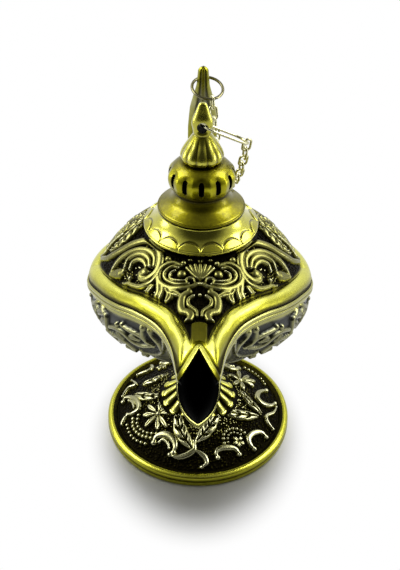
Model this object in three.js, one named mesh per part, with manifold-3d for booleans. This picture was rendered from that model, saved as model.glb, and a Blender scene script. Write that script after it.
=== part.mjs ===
// Genie lamp incense burner: a footed bowl with an open spout, a domed upper shell, a pierced
// lift-off lid and a small chain that ties the lid to the handle.
// Millimetres, +Z up. The origin is the centre of the foot's underside. The spout points along -Y.
import * as THREE from "three";
import { mergeVertices } from "three/addons/utils/BufferGeometryUtils.js";
import Module from "manifold-3d";

const wasm = await Module();
wasm.setup();

// Gaps and walls shared by the pieces
const SEAT_GAP = 0.3;
const CAST_WALL = 1.4;
const MOUTH_WALL = 0.8;
const CORNER_WALL = 0.2;
const CORNER_TAPER = 2;
const SCREW_FIT = 0.3;

// Foot and stem
const FOOT_RADIUS = 25;
const FOOT_RIM_HEIGHT = 3.4;
const FOOT_RIM_WIDTH = 3;
const FOOT_RIM_GROOVE = 0.5;
const FOOT_WALL = 2;
const STEM_BASE_RADIUS = 9.2;
const STEM_BASE_HEIGHT = 8.4;
const STEM_WAIST_RADIUS = 4.8;
const STEM_WAIST_HEIGHT = 19;
const STEM_TOP_RADIUS = 8.2;
const STEM_RIBS = 16;
const STEM_RIB_DEPTH = 0.9;

// Bowl, seam and spout
const BODY_RADIUS = 27.5;
const SEAM_HEIGHT = 47;
const BOWL_BASE_HEIGHT = 32;
const BOWL_BASE_RADIUS = 8.5;
const BOWL_FULLNESS = 0.85;
const RIM_HEIGHT = 2.9;
const RIM_PROUD = 0.45;
const SPOUT_REACH = 52.5;
const SPOUT_TIP_RISE = 5;
const SPOUT_TAPER = 5;
const SPOUT_SWEEP = 1.1;
const LIP_NOTCH_REACH = 37.5;
const LIP_NOTCH_RISE = 11.6;
const LIP_BOW = { side: 2.2, forward: 1.6, drop: 0.6 };

// The seam from the widest point forward: half width, distance forward and rise above SEAM_HEIGHT
const SEAM_SIDE_RISE = 0.9;
const SEAM_FLANK = { half: 23.4, forward: 10, rise: 4 };
const SEAM_SHOULDER = { half: 19.2, forward: 16.7, rise: 6.6 };
const SEAM_CHEEK = { half: 14.2, forward: 22.4, rise: 8.9 };
const SEAM_ROOT = { half: 9.1, forward: 27.9, rise: 9.6 };
const SEAM_THROAT = { half: 6.1, forward: 34.8, rise: 9.9 };
const MOUTH_CORNER = { half: 4, forward: 47, rise: 11 };

// Upper shell: dome, rolled band and the opening under the collar
const SHELL_TOP_HEIGHT = 64.2;
const SHELL_TOP_RADIUS = 11.2;
const DOME_SHOULDER_RADIUS = 21.5;
const DOME_SHOULDER_HEIGHT = 62.4;
const BAND_WIDTH = 3.8;
const BAND_SIDE_RISE = 5;
const BAND_FRONT_RISE = 1.2;
const BAND_BULGE = 1;
const BAND_POINT_REACH = 29.5;

// Collar
const COLLAR_BORE_RADIUS = 8.6;
const COLLAR_TOP_RADIUS = 10.15;
const COLLAR_TOP_HEIGHT = 68.8;
const COLLAR_FLANGE_RADIUS = 13.5;
const COLLAR_FLANGE_HEIGHT = 1.1;
const COLLAR_SPIGOT_DEPTH = 2;
const COLLAR_PETALS = 16;
const COLLAR_PETAL_DEPTH = 0.5;

// Lid
const LID_PLUG_DEPTH = 3.7;
const LID_PLUG_GAP = 0.5;
const LID_RIM_THICKNESS = 0.8;
const LID_RIM_OVERHANG = 0.05;
const LID_NECK_RADIUS = 6.2;
const LID_NECK_HEIGHT = 4.3;
const DRUM_RADIUS = 7.8;
const DRUM_HEIGHT = 7;
const DRUM_TOP_RADIUS = 4.4;
const LID_WALL = 1.2;
const VENT_SLOTS = 12;
const VENT_WIDTH = 1.2;
const VENT_HEIGHT = 3.4;

// Finial
const FINIAL_LOBES = 12;
const FINIAL_LOBE_DEPTH = 0.45;
const FINIAL_RADIUS = 4.7;
const FINIAL_DOME_HEIGHT = 6.8;
const KNOB_NECK_RADIUS = 1.5;
const KNOB_RADIUS = 2.25;
const KNOB_HEIGHT = 7.3;
const KNOB_FLATNESS = 0.68;
const KNOB_HOLE_RADIUS = 1.2;
const KNOB_HOLE_RISE = 2.1;

// Incense cup
const CUP_RADIUS = 7.2;
const CUP_HEIGHT = 6.3;
const CUP_FOOT_RADIUS = 5.4;
const CUP_FOOT_HEIGHT = 3.4;
const CUP_WALL = 0.9;
const CUP_DISH_DEPTH = 2;

// Screws
const STEM_SCREW = { shank: 1.5, head: 3.4, headHeight: 1.9 };
const STEM_NUT = { acrossCorners: 6, height: 2 };
const STEM_SCREW_PROUD = 0.5;
const HANDLE_SCREW = { shank: 1.1, head: 2, headHeight: 1.3, length: 6 };
const FINIAL_SCREW = { shank: 0.9, head: 1.9, headHeight: 1, length: 5 };

// Handle: its root below the seam, then stations from there to its free end
const HANDLE_ROOT_DROP = 6;
const HANDLE_SECTION_POWER = 1.55;
const HANDLE_HEEL = { back: 38, height: 37.4, half: 3.2, thick: 2 };
const HANDLE_LOW_BEND = { back: 46.3, height: 43, half: 3.5, thick: 1.8 };
const HANDLE_BACK = { back: 50.9, height: 53.5, half: 4.2, thick: 1.6 };
const HANDLE_GRIP = { back: 49.6, height: 64.5, half: 4.1, thick: 1.5 };
const HANDLE_HIGH_BEND = { back: 44, height: 73, half: 3.5, thick: 1.4 };
const HANDLE_TAPER = { back: 38, height: 79, half: 2.6, thick: 1.4 };
const HANDLE_NECK = { back: 34.6, height: 83.6, half: 1.7, thick: 1.35 };
const HANDLE_END = { back: 33.3, height: 87.8, half: 1.35, thick: 1.3 };
const HANDLE_STATIONS = [
  HANDLE_HEEL,
  HANDLE_LOW_BEND,
  HANDLE_BACK,
  HANDLE_GRIP,
  HANDLE_HIGH_BEND,
  HANDLE_TAPER,
  HANDLE_NECK,
  HANDLE_END,
];
const HANDLE_PAD = { half: 5.4, thick: 3.6 };
const HANDLE_END_ROUND = 1.3;

// Rings and chain
const CHAIN_LINKS = 18;
const LINK_LENGTH = 4;
const LINK_WIDTH = 2.4;
const LINK_WIRE = 0.55;
const HANG_RING_RADIUS = 3.95;
const HANG_RING_WIRE = 0.76;
const HANG_RING_TILT = 20;
const HANG_RING_TURN = 20;
const HANG_RING_SIDE = 1.1;
const HANG_RING_FORWARD = 0.4;
const HANG_RING_DROP = 4.3;
const LID_RING_WIRE = 0.6;
const LID_RING_HALF_WIDTH = 2.8;
const LID_RING_ROLL = 10;
const LID_RING_INSET = -0.2;
const LID_RING_END = { side: 10, back: 2.3, drop: 5.2 };

// Cast relief: strokes drawn in plan, each with its half width and the share of it left at both ends
const RELIEF_HEIGHT = 0.7;
const RELIEF_ROOT = 0.5;
const RIDGE_CREST = 0.55;
const RIDGE_END = 0.6;
const LEAF_END = 0.15;
const BACK_FOLD = -17;
const DOME_VOLUTES = [
  { half: 0.95, points: [[23.4, 0.4], [21.8, -2.3], [18.3, -4.3], [15.1, -5.1], [12, -6.2]] },
  { half: 0.95, points: [[9.2, -10.4], [9, -13.3], [9.9, -15.2], [11.8, -15.7]] },
  { half: 0.8, points: [[20.9, -7.4], [18.2, -6.5], [15.9, -7], [13.5, -7.9], [11.2, -9.7], [10.2, -12.4]] },
  { half: 0.75, points: [[17.1, -9.7], [15, -8.5], [13.1, -9.4], [11.6, -11.2], [11.2, -13.1]] },
  { half: 0.75, points: [[17.4, -12.6], [14.8, -14.9], [12.9, -16.5], [10.8, -17], [9.2, -15.9]] },
  { half: 1.6, points: [[13, 2.4], [15.6, 0], [19.2, -2.4]], end: LEAF_END },
];
const DOME_SCROLLS = [
  { half: 0.65, points: [[7.4, -14], [9.2, -15.9], [8.9, -17.5], [6, -20], [3.9, -20.6], [1, -20]] },
  { half: 0.5, points: [[9.3, -16.7], [9.1, -19.9], [10.9, -21]] },
  { half: 0.6, points: [[2.3, -21.7], [4, -24.5], [3.6, -26.2], [1.8, -27.6], [2.9, -29.9]] },
  { half: 0.9, points: [[7.6, -18.9], [6, -21], [3.5, -23]], end: LEAF_END },
  { half: 0.85, points: [[13.4, 7.8], [15.1, 6.8], [18.4, 5.5], [21.4, 4.7]] },
  { half: 0.9, points: [[4.1, -15.8], [4.1, -16.9], [4.1, -18]] },
];
const DOME_MIDDLE = [
  { half: 2, points: [[0, -14.6], [0, -16], [0, -18.8]], end: LEAF_END },
  { half: 2.2, points: [[0, -29.6], [0, -32], [0, -35.2]], end: LEAF_END },
  { half: 1.6, points: [[0, 14.4], [0, 18], [0, 22.4]], end: LEAF_END },
];
const FOOT_FRONT = [
  { half: 1.9, points: [[-2.2, -16], [-4, -12.4], [-5.3, -7.9]], end: LEAF_END },
  { half: 1.9, points: [[-0.4, -15.6], [2.1, -12], [5.2, -7.9]], end: LEAF_END },
  { half: 0.75, points: [[-0.8, -15.2], [-0.8, -17], [-2.1, -18.1], [-4.8, -18.8], [-7.1, -18]] },
  { half: 0.65, points: [[-0.7, -17.2], [2.1, -19], [2.4, -20.2], [1.2, -21.2]] },
  { half: 0.9, points: [[-11.4, -14.4], [-10.7, -13], [-8.6, -12.8], [-6.6, -14], [-6.2, -17.6]] },
  { half: 0.6, points: [[6.9, -15], [6.7, -13.1], [9.9, -10.7], [11.8, -11], [13, -12]] },
  { half: 0.75, points: [[5.3, -18.7], [4.8, -17.7], [7.8, -16], [9.8, -16], [10.9, -17.1]] },
];
const FOOT_SIDES = [
  { half: 1.7, points: [[16.5, -5], [11.6, -6.3], [7.4, -6.6]], end: LEAF_END },
  { half: 1.6, points: [[-17.7, 2.9], [-13.4, 0], [-10, -0.9]], end: LEAF_END },
  { half: 1.2, points: [[17.2, -4.2], [13.5, -0.8], [11.4, 2.4]], end: LEAF_END },
  { half: 1.2, points: [[-15.8, 6], [-12.3, 6.8], [-8.5, 8.4]], end: LEAF_END },
  { half: 0.75, points: [[18.2, -10.7], [16.8, -9.8], [14.8, -10.6], [13.4, -12.4], [14.9, -14.9]] },
  { half: 0.75, points: [[19, 6.4], [16.7, 4], [16.2, 1.3], [17.5, 0], [21.2, 2]] },
  { half: 0.5, points: [[21.3, 0.6], [18.4, -4.2], [18.7, -6.1], [20.3, -7.8]] },
  { half: 0.75, points: [[-20.7, 1.3], [-20, 2.6], [-16.3, -1.2], [-16, -3.4], [-19, -4.1]] },
  { half: 0.5, points: [[-20.8, 3.6], [-19.3, 6.9], [-18.9, 10]] },
  { half: 0.6, points: [[-17.5, 12.6], [-13.9, 13.7], [-14.4, 16.8]] },
];
const FLOWERS = [
  { x: -10.5, y: -6.6 },
  { x: 11.6, y: 7.2 },
];
const FLOWER_PETALS = 8;
const FLOWER_REACH = 4.3;
const PETAL_HALF = 0.75;

// Facets
const SEAM_STEPS = 14;
const LIP_STEPS = 3;
const BACK_STEPS = 6;
const WIRE_SIDES = 5;
const BEND_STEPS = 4;
const STEPS_PER_RIB = 4;

// Materials
const antiqueBrass = new THREE.MeshStandardMaterial({ color: 0x9c8a2e, roughness: 0.35, metalness: 1 });
const agedZinc = new THREE.MeshStandardMaterial({ color: 0x8d8765, roughness: 0.42, metalness: 1 });
const chainWire = new THREE.MeshStandardMaterial({ color: 0x8f8a72, roughness: 0.32, metalness: 1 });
const screwSteel = new THREE.MeshStandardMaterial({ color: 0x9a9a98, roughness: 0.4, metalness: 1 });
const cupBrass = new THREE.MeshStandardMaterial({ color: 0xa08a3c, roughness: 0.4, metalness: 1 });

// Small helpers
const at = (x, y, z) => new THREE.Vector3(x, y, z);
const mix = THREE.MathUtils.lerp;
const radians = THREE.MathUtils.degToRad;
const flat = (r, z) => new THREE.Vector2(r, z);

// Turns a geometry's faces outwards and keeps only merged positions
function outward(geometry) {
  const bare = new THREE.BufferGeometry();
  bare.setAttribute("position", geometry.getAttribute("position"));
  bare.setIndex(geometry.getIndex());
  const merged = mergeVertices(bare, 1e-4);
  const p = merged.getAttribute("position");
  const corners = [0, 1, 2].map(() => new THREE.Vector3());
  const faces = [];
  let volume = 0;
  for (let i = 0; i < merged.index.count; i += 3) {
    const face = [0, 1, 2].map((k) => merged.index.getX(i + k));
    if (new Set(face).size < 3) continue;
    faces.push(face);
    face.forEach((v, k) => corners[k].fromBufferAttribute(p, v));
    volume += corners[0].dot(corners[1].clone().cross(corners[2]));
  }
  merged.setIndex(faces.flatMap(([a, b, c]) => (volume < 0 ? [a, c, b] : [a, b, c])));
  return merged;
}

// A geometry as a solid for joining and cutting
function solid(geometry) {
  const shape = outward(geometry);
  return new wasm.Manifold(
    new wasm.Mesh({
      numProp: 3,
      vertProperties: new Float32Array(shape.getAttribute("position").array),
      triVerts: new Uint32Array(shape.index.array),
    }),
  );
}

// A solid back as a geometry
function geometryOf(made) {
  const mesh = made.getMesh();
  const geometry = new THREE.BufferGeometry();
  geometry.setAttribute("position", new THREE.BufferAttribute(mesh.vertProperties, 3));
  geometry.setIndex(Array.from(mesh.triVerts));
  return geometry;
}

const cut = (base, ...tools) =>
  geometryOf(tools.reduce((left, tool) => left.subtract(solid(tool)), solid(base)));

const join = (base, added) => geometryOf(solid(base).add(added));

// Surface through rings of points; each ring is a closed loop of the same count
function loft(rings, closed) {
  const count = rings[0].length;
  const points = rings.flat();
  const index = [];
  const spans = closed ? rings.length : rings.length - 1;
  for (let j = 0; j < spans; j += 1) {
    const next = (j + 1) % rings.length;
    for (let i = 0; i < count; i += 1) {
      const a = j * count + i;
      const b = j * count + ((i + 1) % count);
      const c = next * count + ((i + 1) % count);
      const d = next * count + i;
      index.push(a, b, c, a, c, d);
    }
  }
  if (!closed) {
    for (const [first, turned] of [[0, true], [(rings.length - 1) * count, false]]) {
      for (let i = 1; i < count - 1; i += 1) {
        const [b, c] = turned ? [first + i + 1, first + i] : [first + i, first + i + 1];
        index.push(first, b, c);
      }
    }
  }
  const geometry = new THREE.BufferGeometry().setFromPoints(points);
  geometry.setIndex(index);
  return outward(geometry);
}

// Solid of revolution about Z from radius and height pairs, with an optional change to each vertex
function revolve(profile, segments, change) {
  const lathe = new THREE.LatheGeometry(profile, segments);
  lathe.rotateX(Math.PI / 2);
  if (change) {
    const p = lathe.getAttribute("position");
    const v = new THREE.Vector3();
    for (let i = 0; i < p.count; i += 1) {
      change(v.fromBufferAttribute(p, i));
      p.setXYZ(i, v.x, v.y, v.z);
    }
  }
  return outward(lathe);
}

const closeProfile = (points) => [...points, points[0].clone()];

const curveThrough = (points, steps) => new THREE.SplineCurve(points).getPoints(steps);

// A cylinder with its axis from one point to another
function rod(from, to, radius, sides = 20) {
  const span = to.clone().sub(from);
  const geometry = new THREE.CylinderGeometry(radius, radius, span.length(), sides);
  geometry.applyQuaternion(new THREE.Quaternion().setFromUnitVectors(at(0, 1, 0), span.normalize()));
  const middle = from.clone().add(to).multiplyScalar(0.5);
  return geometry.translate(middle.x, middle.y, middle.z);
}

// Round ribs: moves a vertex in or out with its angle
function ribbed(v, ribs, depth) {
  const angle = Math.atan2(v.y, v.x);
  const radius = Math.hypot(v.x, v.y);
  const wave = Math.abs(Math.cos((angle * ribs) / 2));
  const scale = (radius - depth * (1 - wave)) / radius;
  v.x *= scale;
  v.y *= scale;
}

// A screw along Z with its head's upper face at z = 0 and its shank going up
function screwProfile({ shank, head, headHeight }, length) {
  return [
    flat(0, -headHeight),
    flat(head * 0.7, -headHeight),
    flat(head, -headHeight * 0.5),
    flat(head, 0),
    flat(shank, 0),
    flat(shank, length),
    flat(0, length),
  ];
}

// The bowl's outer profile below the rim; 0 is the rim's lower edge and 1 the flat base's edge
function bowlPoint(part) {
  const turn = (part * Math.PI) / 2;
  const top = SEAM_HEIGHT - RIM_HEIGHT;
  const span = BODY_RADIUS - 0.2 - BOWL_BASE_RADIUS;
  return flat(
    BOWL_BASE_RADIUS + span * Math.pow(Math.cos(turn), BOWL_FULLNESS),
    top - (top - BOWL_BASE_HEIGHT) * Math.sin(turn),
  );
}

// The part along the bowl's profile that lies at a height, with the point and outward normal there
function bowlAtHeight(height) {
  const top = SEAM_HEIGHT - RIM_HEIGHT;
  const part = (Math.asin((top - height) / (top - BOWL_BASE_HEIGHT)) * 2) / Math.PI;
  const along = bowlPoint(part + 0.01).sub(bowlPoint(part - 0.01)).normalize();
  return { point: bowlPoint(part), normal: flat(-along.y, along.x) };
}

const stationPoint = ({ half, forward, rise }) => at(half, -forward, SEAM_HEIGHT + rise);

// A point of the seam behind the widest point, where it is a level arc that starts to rise at the side
function backArc(turn) {
  const rise = SEAM_SIDE_RISE * THREE.MathUtils.smoothstep(Math.PI - turn, radians(55), radians(90));
  return at(BODY_RADIUS * Math.sin(turn), -BODY_RADIUS * Math.cos(turn), SEAM_HEIGHT + rise);
}

// The right half of the seam, from the middle of the back to the corner of the mouth
function seamHalf() {
  const back = [];
  for (let i = 0; i < BACK_STEPS; i += 1) {
    back.push(backArc(Math.PI - (i / BACK_STEPS) * (Math.PI / 2)));
  }
  const stations = [SEAM_FLANK, SEAM_SHOULDER, SEAM_CHEEK, SEAM_ROOT, SEAM_THROAT, MOUTH_CORNER];
  const guide = [backArc(Math.PI * 0.6), backArc(Math.PI / 2), ...stations.map(stationPoint)];
  const curve = new THREE.CatmullRomCurve3(guide);
  const start = 1 / (guide.length - 1);
  const front = [];
  for (let i = 0; i <= SEAM_STEPS; i += 1) {
    front.push(curve.getPoint(mix(start, 1, i / SEAM_STEPS)));
  }
  return [...back, ...front];
}

// Half an edge and its mirror image as one ring, from the back round by +X to the front and on
function mirroredRing(half) {
  const left = half.slice(1, -1).reverse();
  return [...half, ...left.map((p) => at(-p.x, p.y, p.z))];
}

// The lip from the mouth's corner to a point in the middle plane
function lipHalf(corner, end, middle) {
  const curve = new THREE.QuadraticBezierCurve3(corner, middle, end);
  return curve.getPoints(LIP_STEPS).slice(1);
}

const angleFromFront = (p) => Math.atan2(Math.abs(p.x), -p.y);

// Heights of a surface seen from above, at a place in plan
function seenFromAbove(geometry) {
  const mesh = new THREE.Mesh(geometry, new THREE.MeshStandardMaterial({ side: THREE.DoubleSide }));
  const caster = new THREE.Raycaster();
  return (x, y) => {
    caster.set(at(x, y, 2 * SHELL_TOP_HEIGHT), at(0, 0, -1));
    return caster.intersectObject(mesh)[0].point;
  };
}

// A low ridge along a stroke: it stands upright on the surface and is rooted a little below it
function ridge(surface, { half, points, end = RIDGE_END }) {
  const step = RELIEF_ROOT;
  const centres = points.map(([x, y]) => surface(x, y));
  const rings = centres.map((centre, i) => {
    const before = centres[Math.max(i - 1, 0)];
    const after = centres[Math.min(i + 1, centres.length - 1)];
    const { x, y } = centre;
    const slopeX = surface(x + step, y).sub(surface(x - step, y));
    const up = slopeX.cross(surface(x, y + step).sub(surface(x, y - step))).normalize();
    const across = after.clone().sub(before).cross(up).normalize();
    const share = i / (centres.length - 1);
    const width = half * mix(end, 1, Math.sin(Math.PI * share));
    const corner = (side, rise) =>
      centre.clone().addScaledVector(across, side * width).addScaledVector(up, rise);
    return [
      corner(-1, -RELIEF_ROOT),
      corner(-RIDGE_CREST, RELIEF_HEIGHT),
      corner(RIDGE_CREST, RELIEF_HEIGHT),
      corner(1, -RELIEF_ROOT),
    ];
  });
  return loft(rings, false);
}

const ridgesOf = (surface, strokes) => wasm.Manifold.union(strokes.map((s) => solid(ridge(surface, s))));

// The same strokes after a change to each point
const redrawn = (strokes, change) => strokes.map((s) => ({ ...s, points: s.points.map(change) }));

const mirroredPoint = ([x, y]) => [-x, y];

const halfTurned = ([x, y]) => [-x, -y];

// A point of the right side mirrored across a slanting line on to the back
function foldedBack([x, y]) {
  const turn = 2 * radians(BACK_FOLD) - Math.atan2(-y, x);
  const reach = Math.hypot(x, y);
  return [reach * Math.cos(turn), -reach * Math.sin(turn)];
}

// Closed shell from a ring of outer columns: the inner skin lies one wall inside the outer one.
// The seam's rim is cut level where isLevel says so, and the rim at the other end upright.
function shellFromColumns(columns, wallAt, seamIndex, isLevel) {
  const count = columns.length;
  const last = columns[0].length - 1;
  const rings = columns.map((column, j) => {
    const before = columns[(j + count - 1) % count];
    const after = columns[(j + 1) % count];
    const inner = column.map((p, i) => {
      const along = column[Math.min(i + 1, last)].clone().sub(column[Math.max(i - 1, 0)]);
      const around = after[i].clone().sub(before[i]);
      const normal = around.cross(along);
      if (i === seamIndex && isLevel(p)) normal.setZ(0);
      if (i === last - seamIndex) normal.set(0, 0, normal.z);
      normal.normalize();
      return p.clone().addScaledVector(normal, -wallAt(p));
    });
    return [...column, ...inner.reverse()];
  });
  return loft(rings, true);
}

// Wall of the two body shells, thinner towards the mouth
function wallAt(p) {
  const reach = Math.hypot(p.x, p.y);
  const share = THREE.MathUtils.smoothstep(reach, BODY_RADIUS, MOUTH_CORNER.forward);
  return mix(CAST_WALL, MOUTH_WALL, share);
}

// A column's points as positions in the vertical plane of its angle
const inPlane = (edge, pairs) => {
  const reach = Math.hypot(edge.x, edge.y);
  return pairs.map(({ x: r, y: z }) => at((edge.x / reach) * r, (edge.y / reach) * r, z));
};

// One column of the upper shell: dome, then the rolled band out to the seam or the lip
function upperColumn(edge) {
  const angle = angleFromFront(edge);
  const reach = Math.hypot(edge.x, edge.y);
  const sideShare = THREE.MathUtils.smoothstep(angle, radians(40), radians(88));
  const rise = mix(BAND_FRONT_RISE, BAND_SIDE_RISE, sideShare);
  const bandRadius = Math.min(reach - BAND_WIDTH, BAND_POINT_REACH);
  const bandTop = flat(bandRadius, Math.min(edge.z + rise, SEAM_HEIGHT + LIP_NOTCH_RISE));
  const dome = new THREE.QuadraticBezierCurve(
    flat(SHELL_TOP_RADIUS, SHELL_TOP_HEIGHT),
    flat(DOME_SHOULDER_RADIUS, DOME_SHOULDER_HEIGHT),
    bandTop,
  ).getPoints(5);
  const end = flat(reach, edge.z);
  const chord = end.clone().sub(bandTop);
  const normal = flat(-chord.y, chord.x).normalize();
  const bulge = BAND_BULGE * (1 - 0.75 * Math.exp(-((angle / radians(3.2)) ** 2)));
  const band = [0.1, 0.35, 0.65, 0.9, 1].map((t) => {
    const proud = bulge * Math.pow(Math.sin(Math.PI * t), 0.7);
    return bandTop.clone().addScaledVector(chord, t).addScaledVector(normal, proud);
  });
  return inPlane(edge, [...dome, ...band]);
}

function upperShell() {
  const seam = seamHalf();
  const corner = seam[seam.length - 1];
  const notch = at(0, -LIP_NOTCH_REACH, SEAM_HEIGHT + LIP_NOTCH_RISE);
  const lip = lipHalf(corner, notch, corner.clone().lerp(notch, 0.5));
  const edge = mirroredRing([...seam, ...lip]);
  const columns = edge.map(upperColumn);
  const onSeam = (p) => angleFromFront(p) > angleFromFront(corner) * 1.05;
  const taperedWall = (p) => {
    const fromCorner = Math.hypot(Math.abs(p.x) - corner.x, p.y - corner.y);
    return mix(CORNER_WALL, wallAt(p), THREE.MathUtils.smoothstep(fromCorner, 0, CORNER_TAPER));
  };
  const shell = shellFromColumns(columns, taperedWall, columns[0].length - 1, onSeam);
  const volutes = [...DOME_VOLUTES, ...redrawn(DOME_VOLUTES, foldedBack)];
  const right = [...volutes, ...DOME_SCROLLS];
  const strokes = [...right, ...redrawn(right, mirroredPoint), ...DOME_MIDDLE];
  const raised = ridgesOf(seenFromAbove(shell), strokes);
  const collarReach = COLLAR_FLANGE_RADIUS + SEAT_GAP;
  const collarSpace = rod(at(0, 0, SEAM_HEIGHT), at(0, 0, 2 * SEAM_HEIGHT), collarReach, 48);
  return join(shell, raised.subtract(solid(collarSpace)));
}

// One column of the lower bowl: rim, wall and base, drawn out forwards into the spout
function lowerColumn(edge) {
  const reach = Math.hypot(edge.x, edge.y);
  const spare = reach - BODY_RADIUS;
  const lift = edge.z - (SEAM_HEIGHT - SEAT_GAP);
  const rimScale = mix(1, 0.4, THREE.MathUtils.smoothstep(reach, BODY_RADIUS, SPOUT_REACH));
  const rim = [
    flat(0, 0),
    flat(RIM_PROUD, -0.5),
    flat(RIM_PROUD, 0.9 - RIM_HEIGHT),
    flat(-0.2, SEAT_GAP - RIM_HEIGHT),
  ];
  const rimPoints = rim.map((p) => flat(reach + p.x, edge.z + p.y * rimScale));
  const rimDrop = RIM_HEIGHT * (1 - rimScale);
  const parts = [0.1, 0.22, 0.36, 0.52, 0.68, 0.84, 1];
  const wall = parts.map((part) => {
    const p = bowlPoint(part);
    const fade = 1 - part;
    return flat(
      p.x + spare * Math.pow(fade, SPOUT_TAPER),
      p.y + (lift + rimDrop) * Math.pow(fade, SPOUT_SWEEP),
    );
  });
  const base = flat(STEM_SCREW.shank + SCREW_FIT, BOWL_BASE_HEIGHT);
  return inPlane(edge, [...rimPoints, ...wall, base]);
}

function lowerBowl() {
  const seam = seamHalf().map((p) => p.clone().setZ(p.z - SEAT_GAP));
  const corner = seam[seam.length - 1];
  const tip = at(0, -SPOUT_REACH, SEAM_HEIGHT + SPOUT_TIP_RISE);
  const bow = corner.clone().lerp(tip, 0.5).add(at(LIP_BOW.side, -LIP_BOW.forward, -LIP_BOW.drop));
  const edge = mirroredRing([...seam, ...lipHalf(corner, tip, bow)]);
  const columns = edge.map(lowerColumn);
  const shell = shellFromColumns(columns, wallAt, 0, () => true);
  const { from, to } = handleScrewAxis();
  return cut(shell, rod(from, to, HANDLE_SCREW.shank + SCREW_FIT));
}

// Foot with a grooved rim, a rising field and a ribbed stem that carries the bowl
function foot() {
  const rimInner = FOOT_RADIUS - FOOT_RIM_WIDTH;
  const grooveHeight = FOOT_RIM_HEIGHT * 0.5;
  const bore = STEM_SCREW.shank + SCREW_FIT;
  const pocket = STEM_SCREW.head + SCREW_FIT;
  const stemTop = BOWL_BASE_HEIGHT - SEAT_GAP;
  const field = curveThrough(
    [
      flat(rimInner, FOOT_RIM_HEIGHT - 0.9),
      flat(mix(rimInner, STEM_BASE_RADIUS, 0.5), mix(FOOT_RIM_HEIGHT, STEM_BASE_HEIGHT, 0.48)),
      flat(STEM_BASE_RADIUS, STEM_BASE_HEIGHT),
    ],
    4,
  );
  const stem = curveThrough(
    [
      flat(STEM_BASE_RADIUS, STEM_BASE_HEIGHT),
      flat(mix(STEM_BASE_RADIUS, STEM_WAIST_RADIUS, 0.75), mix(STEM_BASE_HEIGHT, STEM_WAIST_HEIGHT, 0.4)),
      flat(STEM_WAIST_RADIUS, STEM_WAIST_HEIGHT),
      flat(mix(STEM_WAIST_RADIUS, STEM_TOP_RADIUS, 0.35), mix(STEM_WAIST_HEIGHT, stemTop, 0.65)),
      flat(STEM_TOP_RADIUS, stemTop),
    ],
    7,
  ).slice(1);
  const profile = closeProfile([
    flat(rimInner - 0.5, 0),
    flat(FOOT_RADIUS - 0.5, 0),
    flat(FOOT_RADIUS, 0.5),
    flat(FOOT_RADIUS, grooveHeight - 0.35),
    flat(FOOT_RADIUS - FOOT_RIM_GROOVE, grooveHeight),
    flat(FOOT_RADIUS, grooveHeight + 0.35),
    flat(FOOT_RADIUS - 0.2, FOOT_RIM_HEIGHT - 0.5),
    flat(FOOT_RADIUS - 1, FOOT_RIM_HEIGHT),
    flat(rimInner + 0.5, FOOT_RIM_HEIGHT - 0.1),
    ...field,
    ...stem,
    flat(bore, stemTop),
    flat(bore, STEM_BASE_HEIGHT - FOOT_WALL),
    flat(pocket, STEM_BASE_HEIGHT - FOOT_WALL),
    flat(STEM_BASE_RADIUS, STEM_BASE_HEIGHT - 2 * FOOT_WALL),
    flat(rimInner - 0.5, FOOT_RIM_HEIGHT - FOOT_WALL),
  ]);
  const waistSpan = STEM_WAIST_HEIGHT - STEM_BASE_HEIGHT;
  const body = revolve(profile, STEM_RIBS * STEPS_PER_RIB, (v) => {
    const outside = Math.hypot(v.x, v.y) > STEM_WAIST_RADIUS - 0.1;
    if (!outside || v.z < STEM_BASE_HEIGHT - 0.1 || v.z > stemTop - 1) return;
    const fade = THREE.MathUtils.clamp(1.4 - (v.z - STEM_BASE_HEIGHT) / (2 * waistSpan), 0.3, 1);
    ribbed(v, STEM_RIBS, STEM_RIB_DEPTH * fade);
  });
  const petals = FLOWERS.flatMap(({ x, y }) =>
    Array.from({ length: FLOWER_PETALS }, (_, i) => {
      const turn = (i / FLOWER_PETALS) * Math.PI * 2;
      const out = (share) => [
        x + share * FLOWER_REACH * Math.cos(turn),
        y + share * FLOWER_REACH * Math.sin(turn),
      ];
      return { half: PETAL_HALF, points: [0.1, 0.6, 1].map(out), end: LEAF_END };
    }),
  );
  const strokes = [...FOOT_FRONT, ...redrawn(FOOT_FRONT, halfTurned), ...FOOT_SIDES, ...petals];
  return join(body, ridgesOf(seenFromAbove(body), strokes));
}

const stemHeadSeat = STEM_BASE_HEIGHT - FOOT_WALL - SEAT_GAP;
const bowlFloor = BOWL_BASE_HEIGHT + CAST_WALL;
const nutTop = bowlFloor + SEAT_GAP + STEM_NUT.height;

function stemScrew() {
  const length = nutTop + STEM_SCREW_PROUD - stemHeadSeat;
  return revolve(screwProfile(STEM_SCREW, length), 20).translate(0, 0, stemHeadSeat);
}

function stemNut() {
  const foot = bowlFloor + SEAT_GAP;
  const block = rod(at(0, 0, foot), at(0, 0, nutTop), STEM_NUT.acrossCorners / 2, 6);
  return cut(block, rod(at(0, 0, foot - 1), at(0, 0, nutTop + 1), STEM_SCREW.shank + SCREW_FIT));
}

// Dish on a ring foot that stands over the nut
function incenseCup() {
  const foot = bowlFloor + SEAT_GAP;
  const shelf = foot + CUP_FOOT_HEIGHT;
  const top = foot + CUP_HEIGHT;
  return revolve(
    [
      flat(0, shelf),
      flat(CUP_FOOT_RADIUS - CUP_WALL, shelf),
      flat(CUP_FOOT_RADIUS - CUP_WALL, foot),
      flat(CUP_FOOT_RADIUS, foot),
      flat(CUP_FOOT_RADIUS, shelf),
      flat(CUP_RADIUS - 0.4, shelf + 0.8),
      flat(CUP_RADIUS, top - 0.3),
      flat(CUP_RADIUS - 0.3, top),
      flat(CUP_RADIUS - CUP_WALL, top),
      flat(CUP_RADIUS - CUP_WALL - 0.6, top - CUP_DISH_DEPTH),
      flat(0, top - CUP_DISH_DEPTH),
    ],
    24,
  );
}

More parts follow.
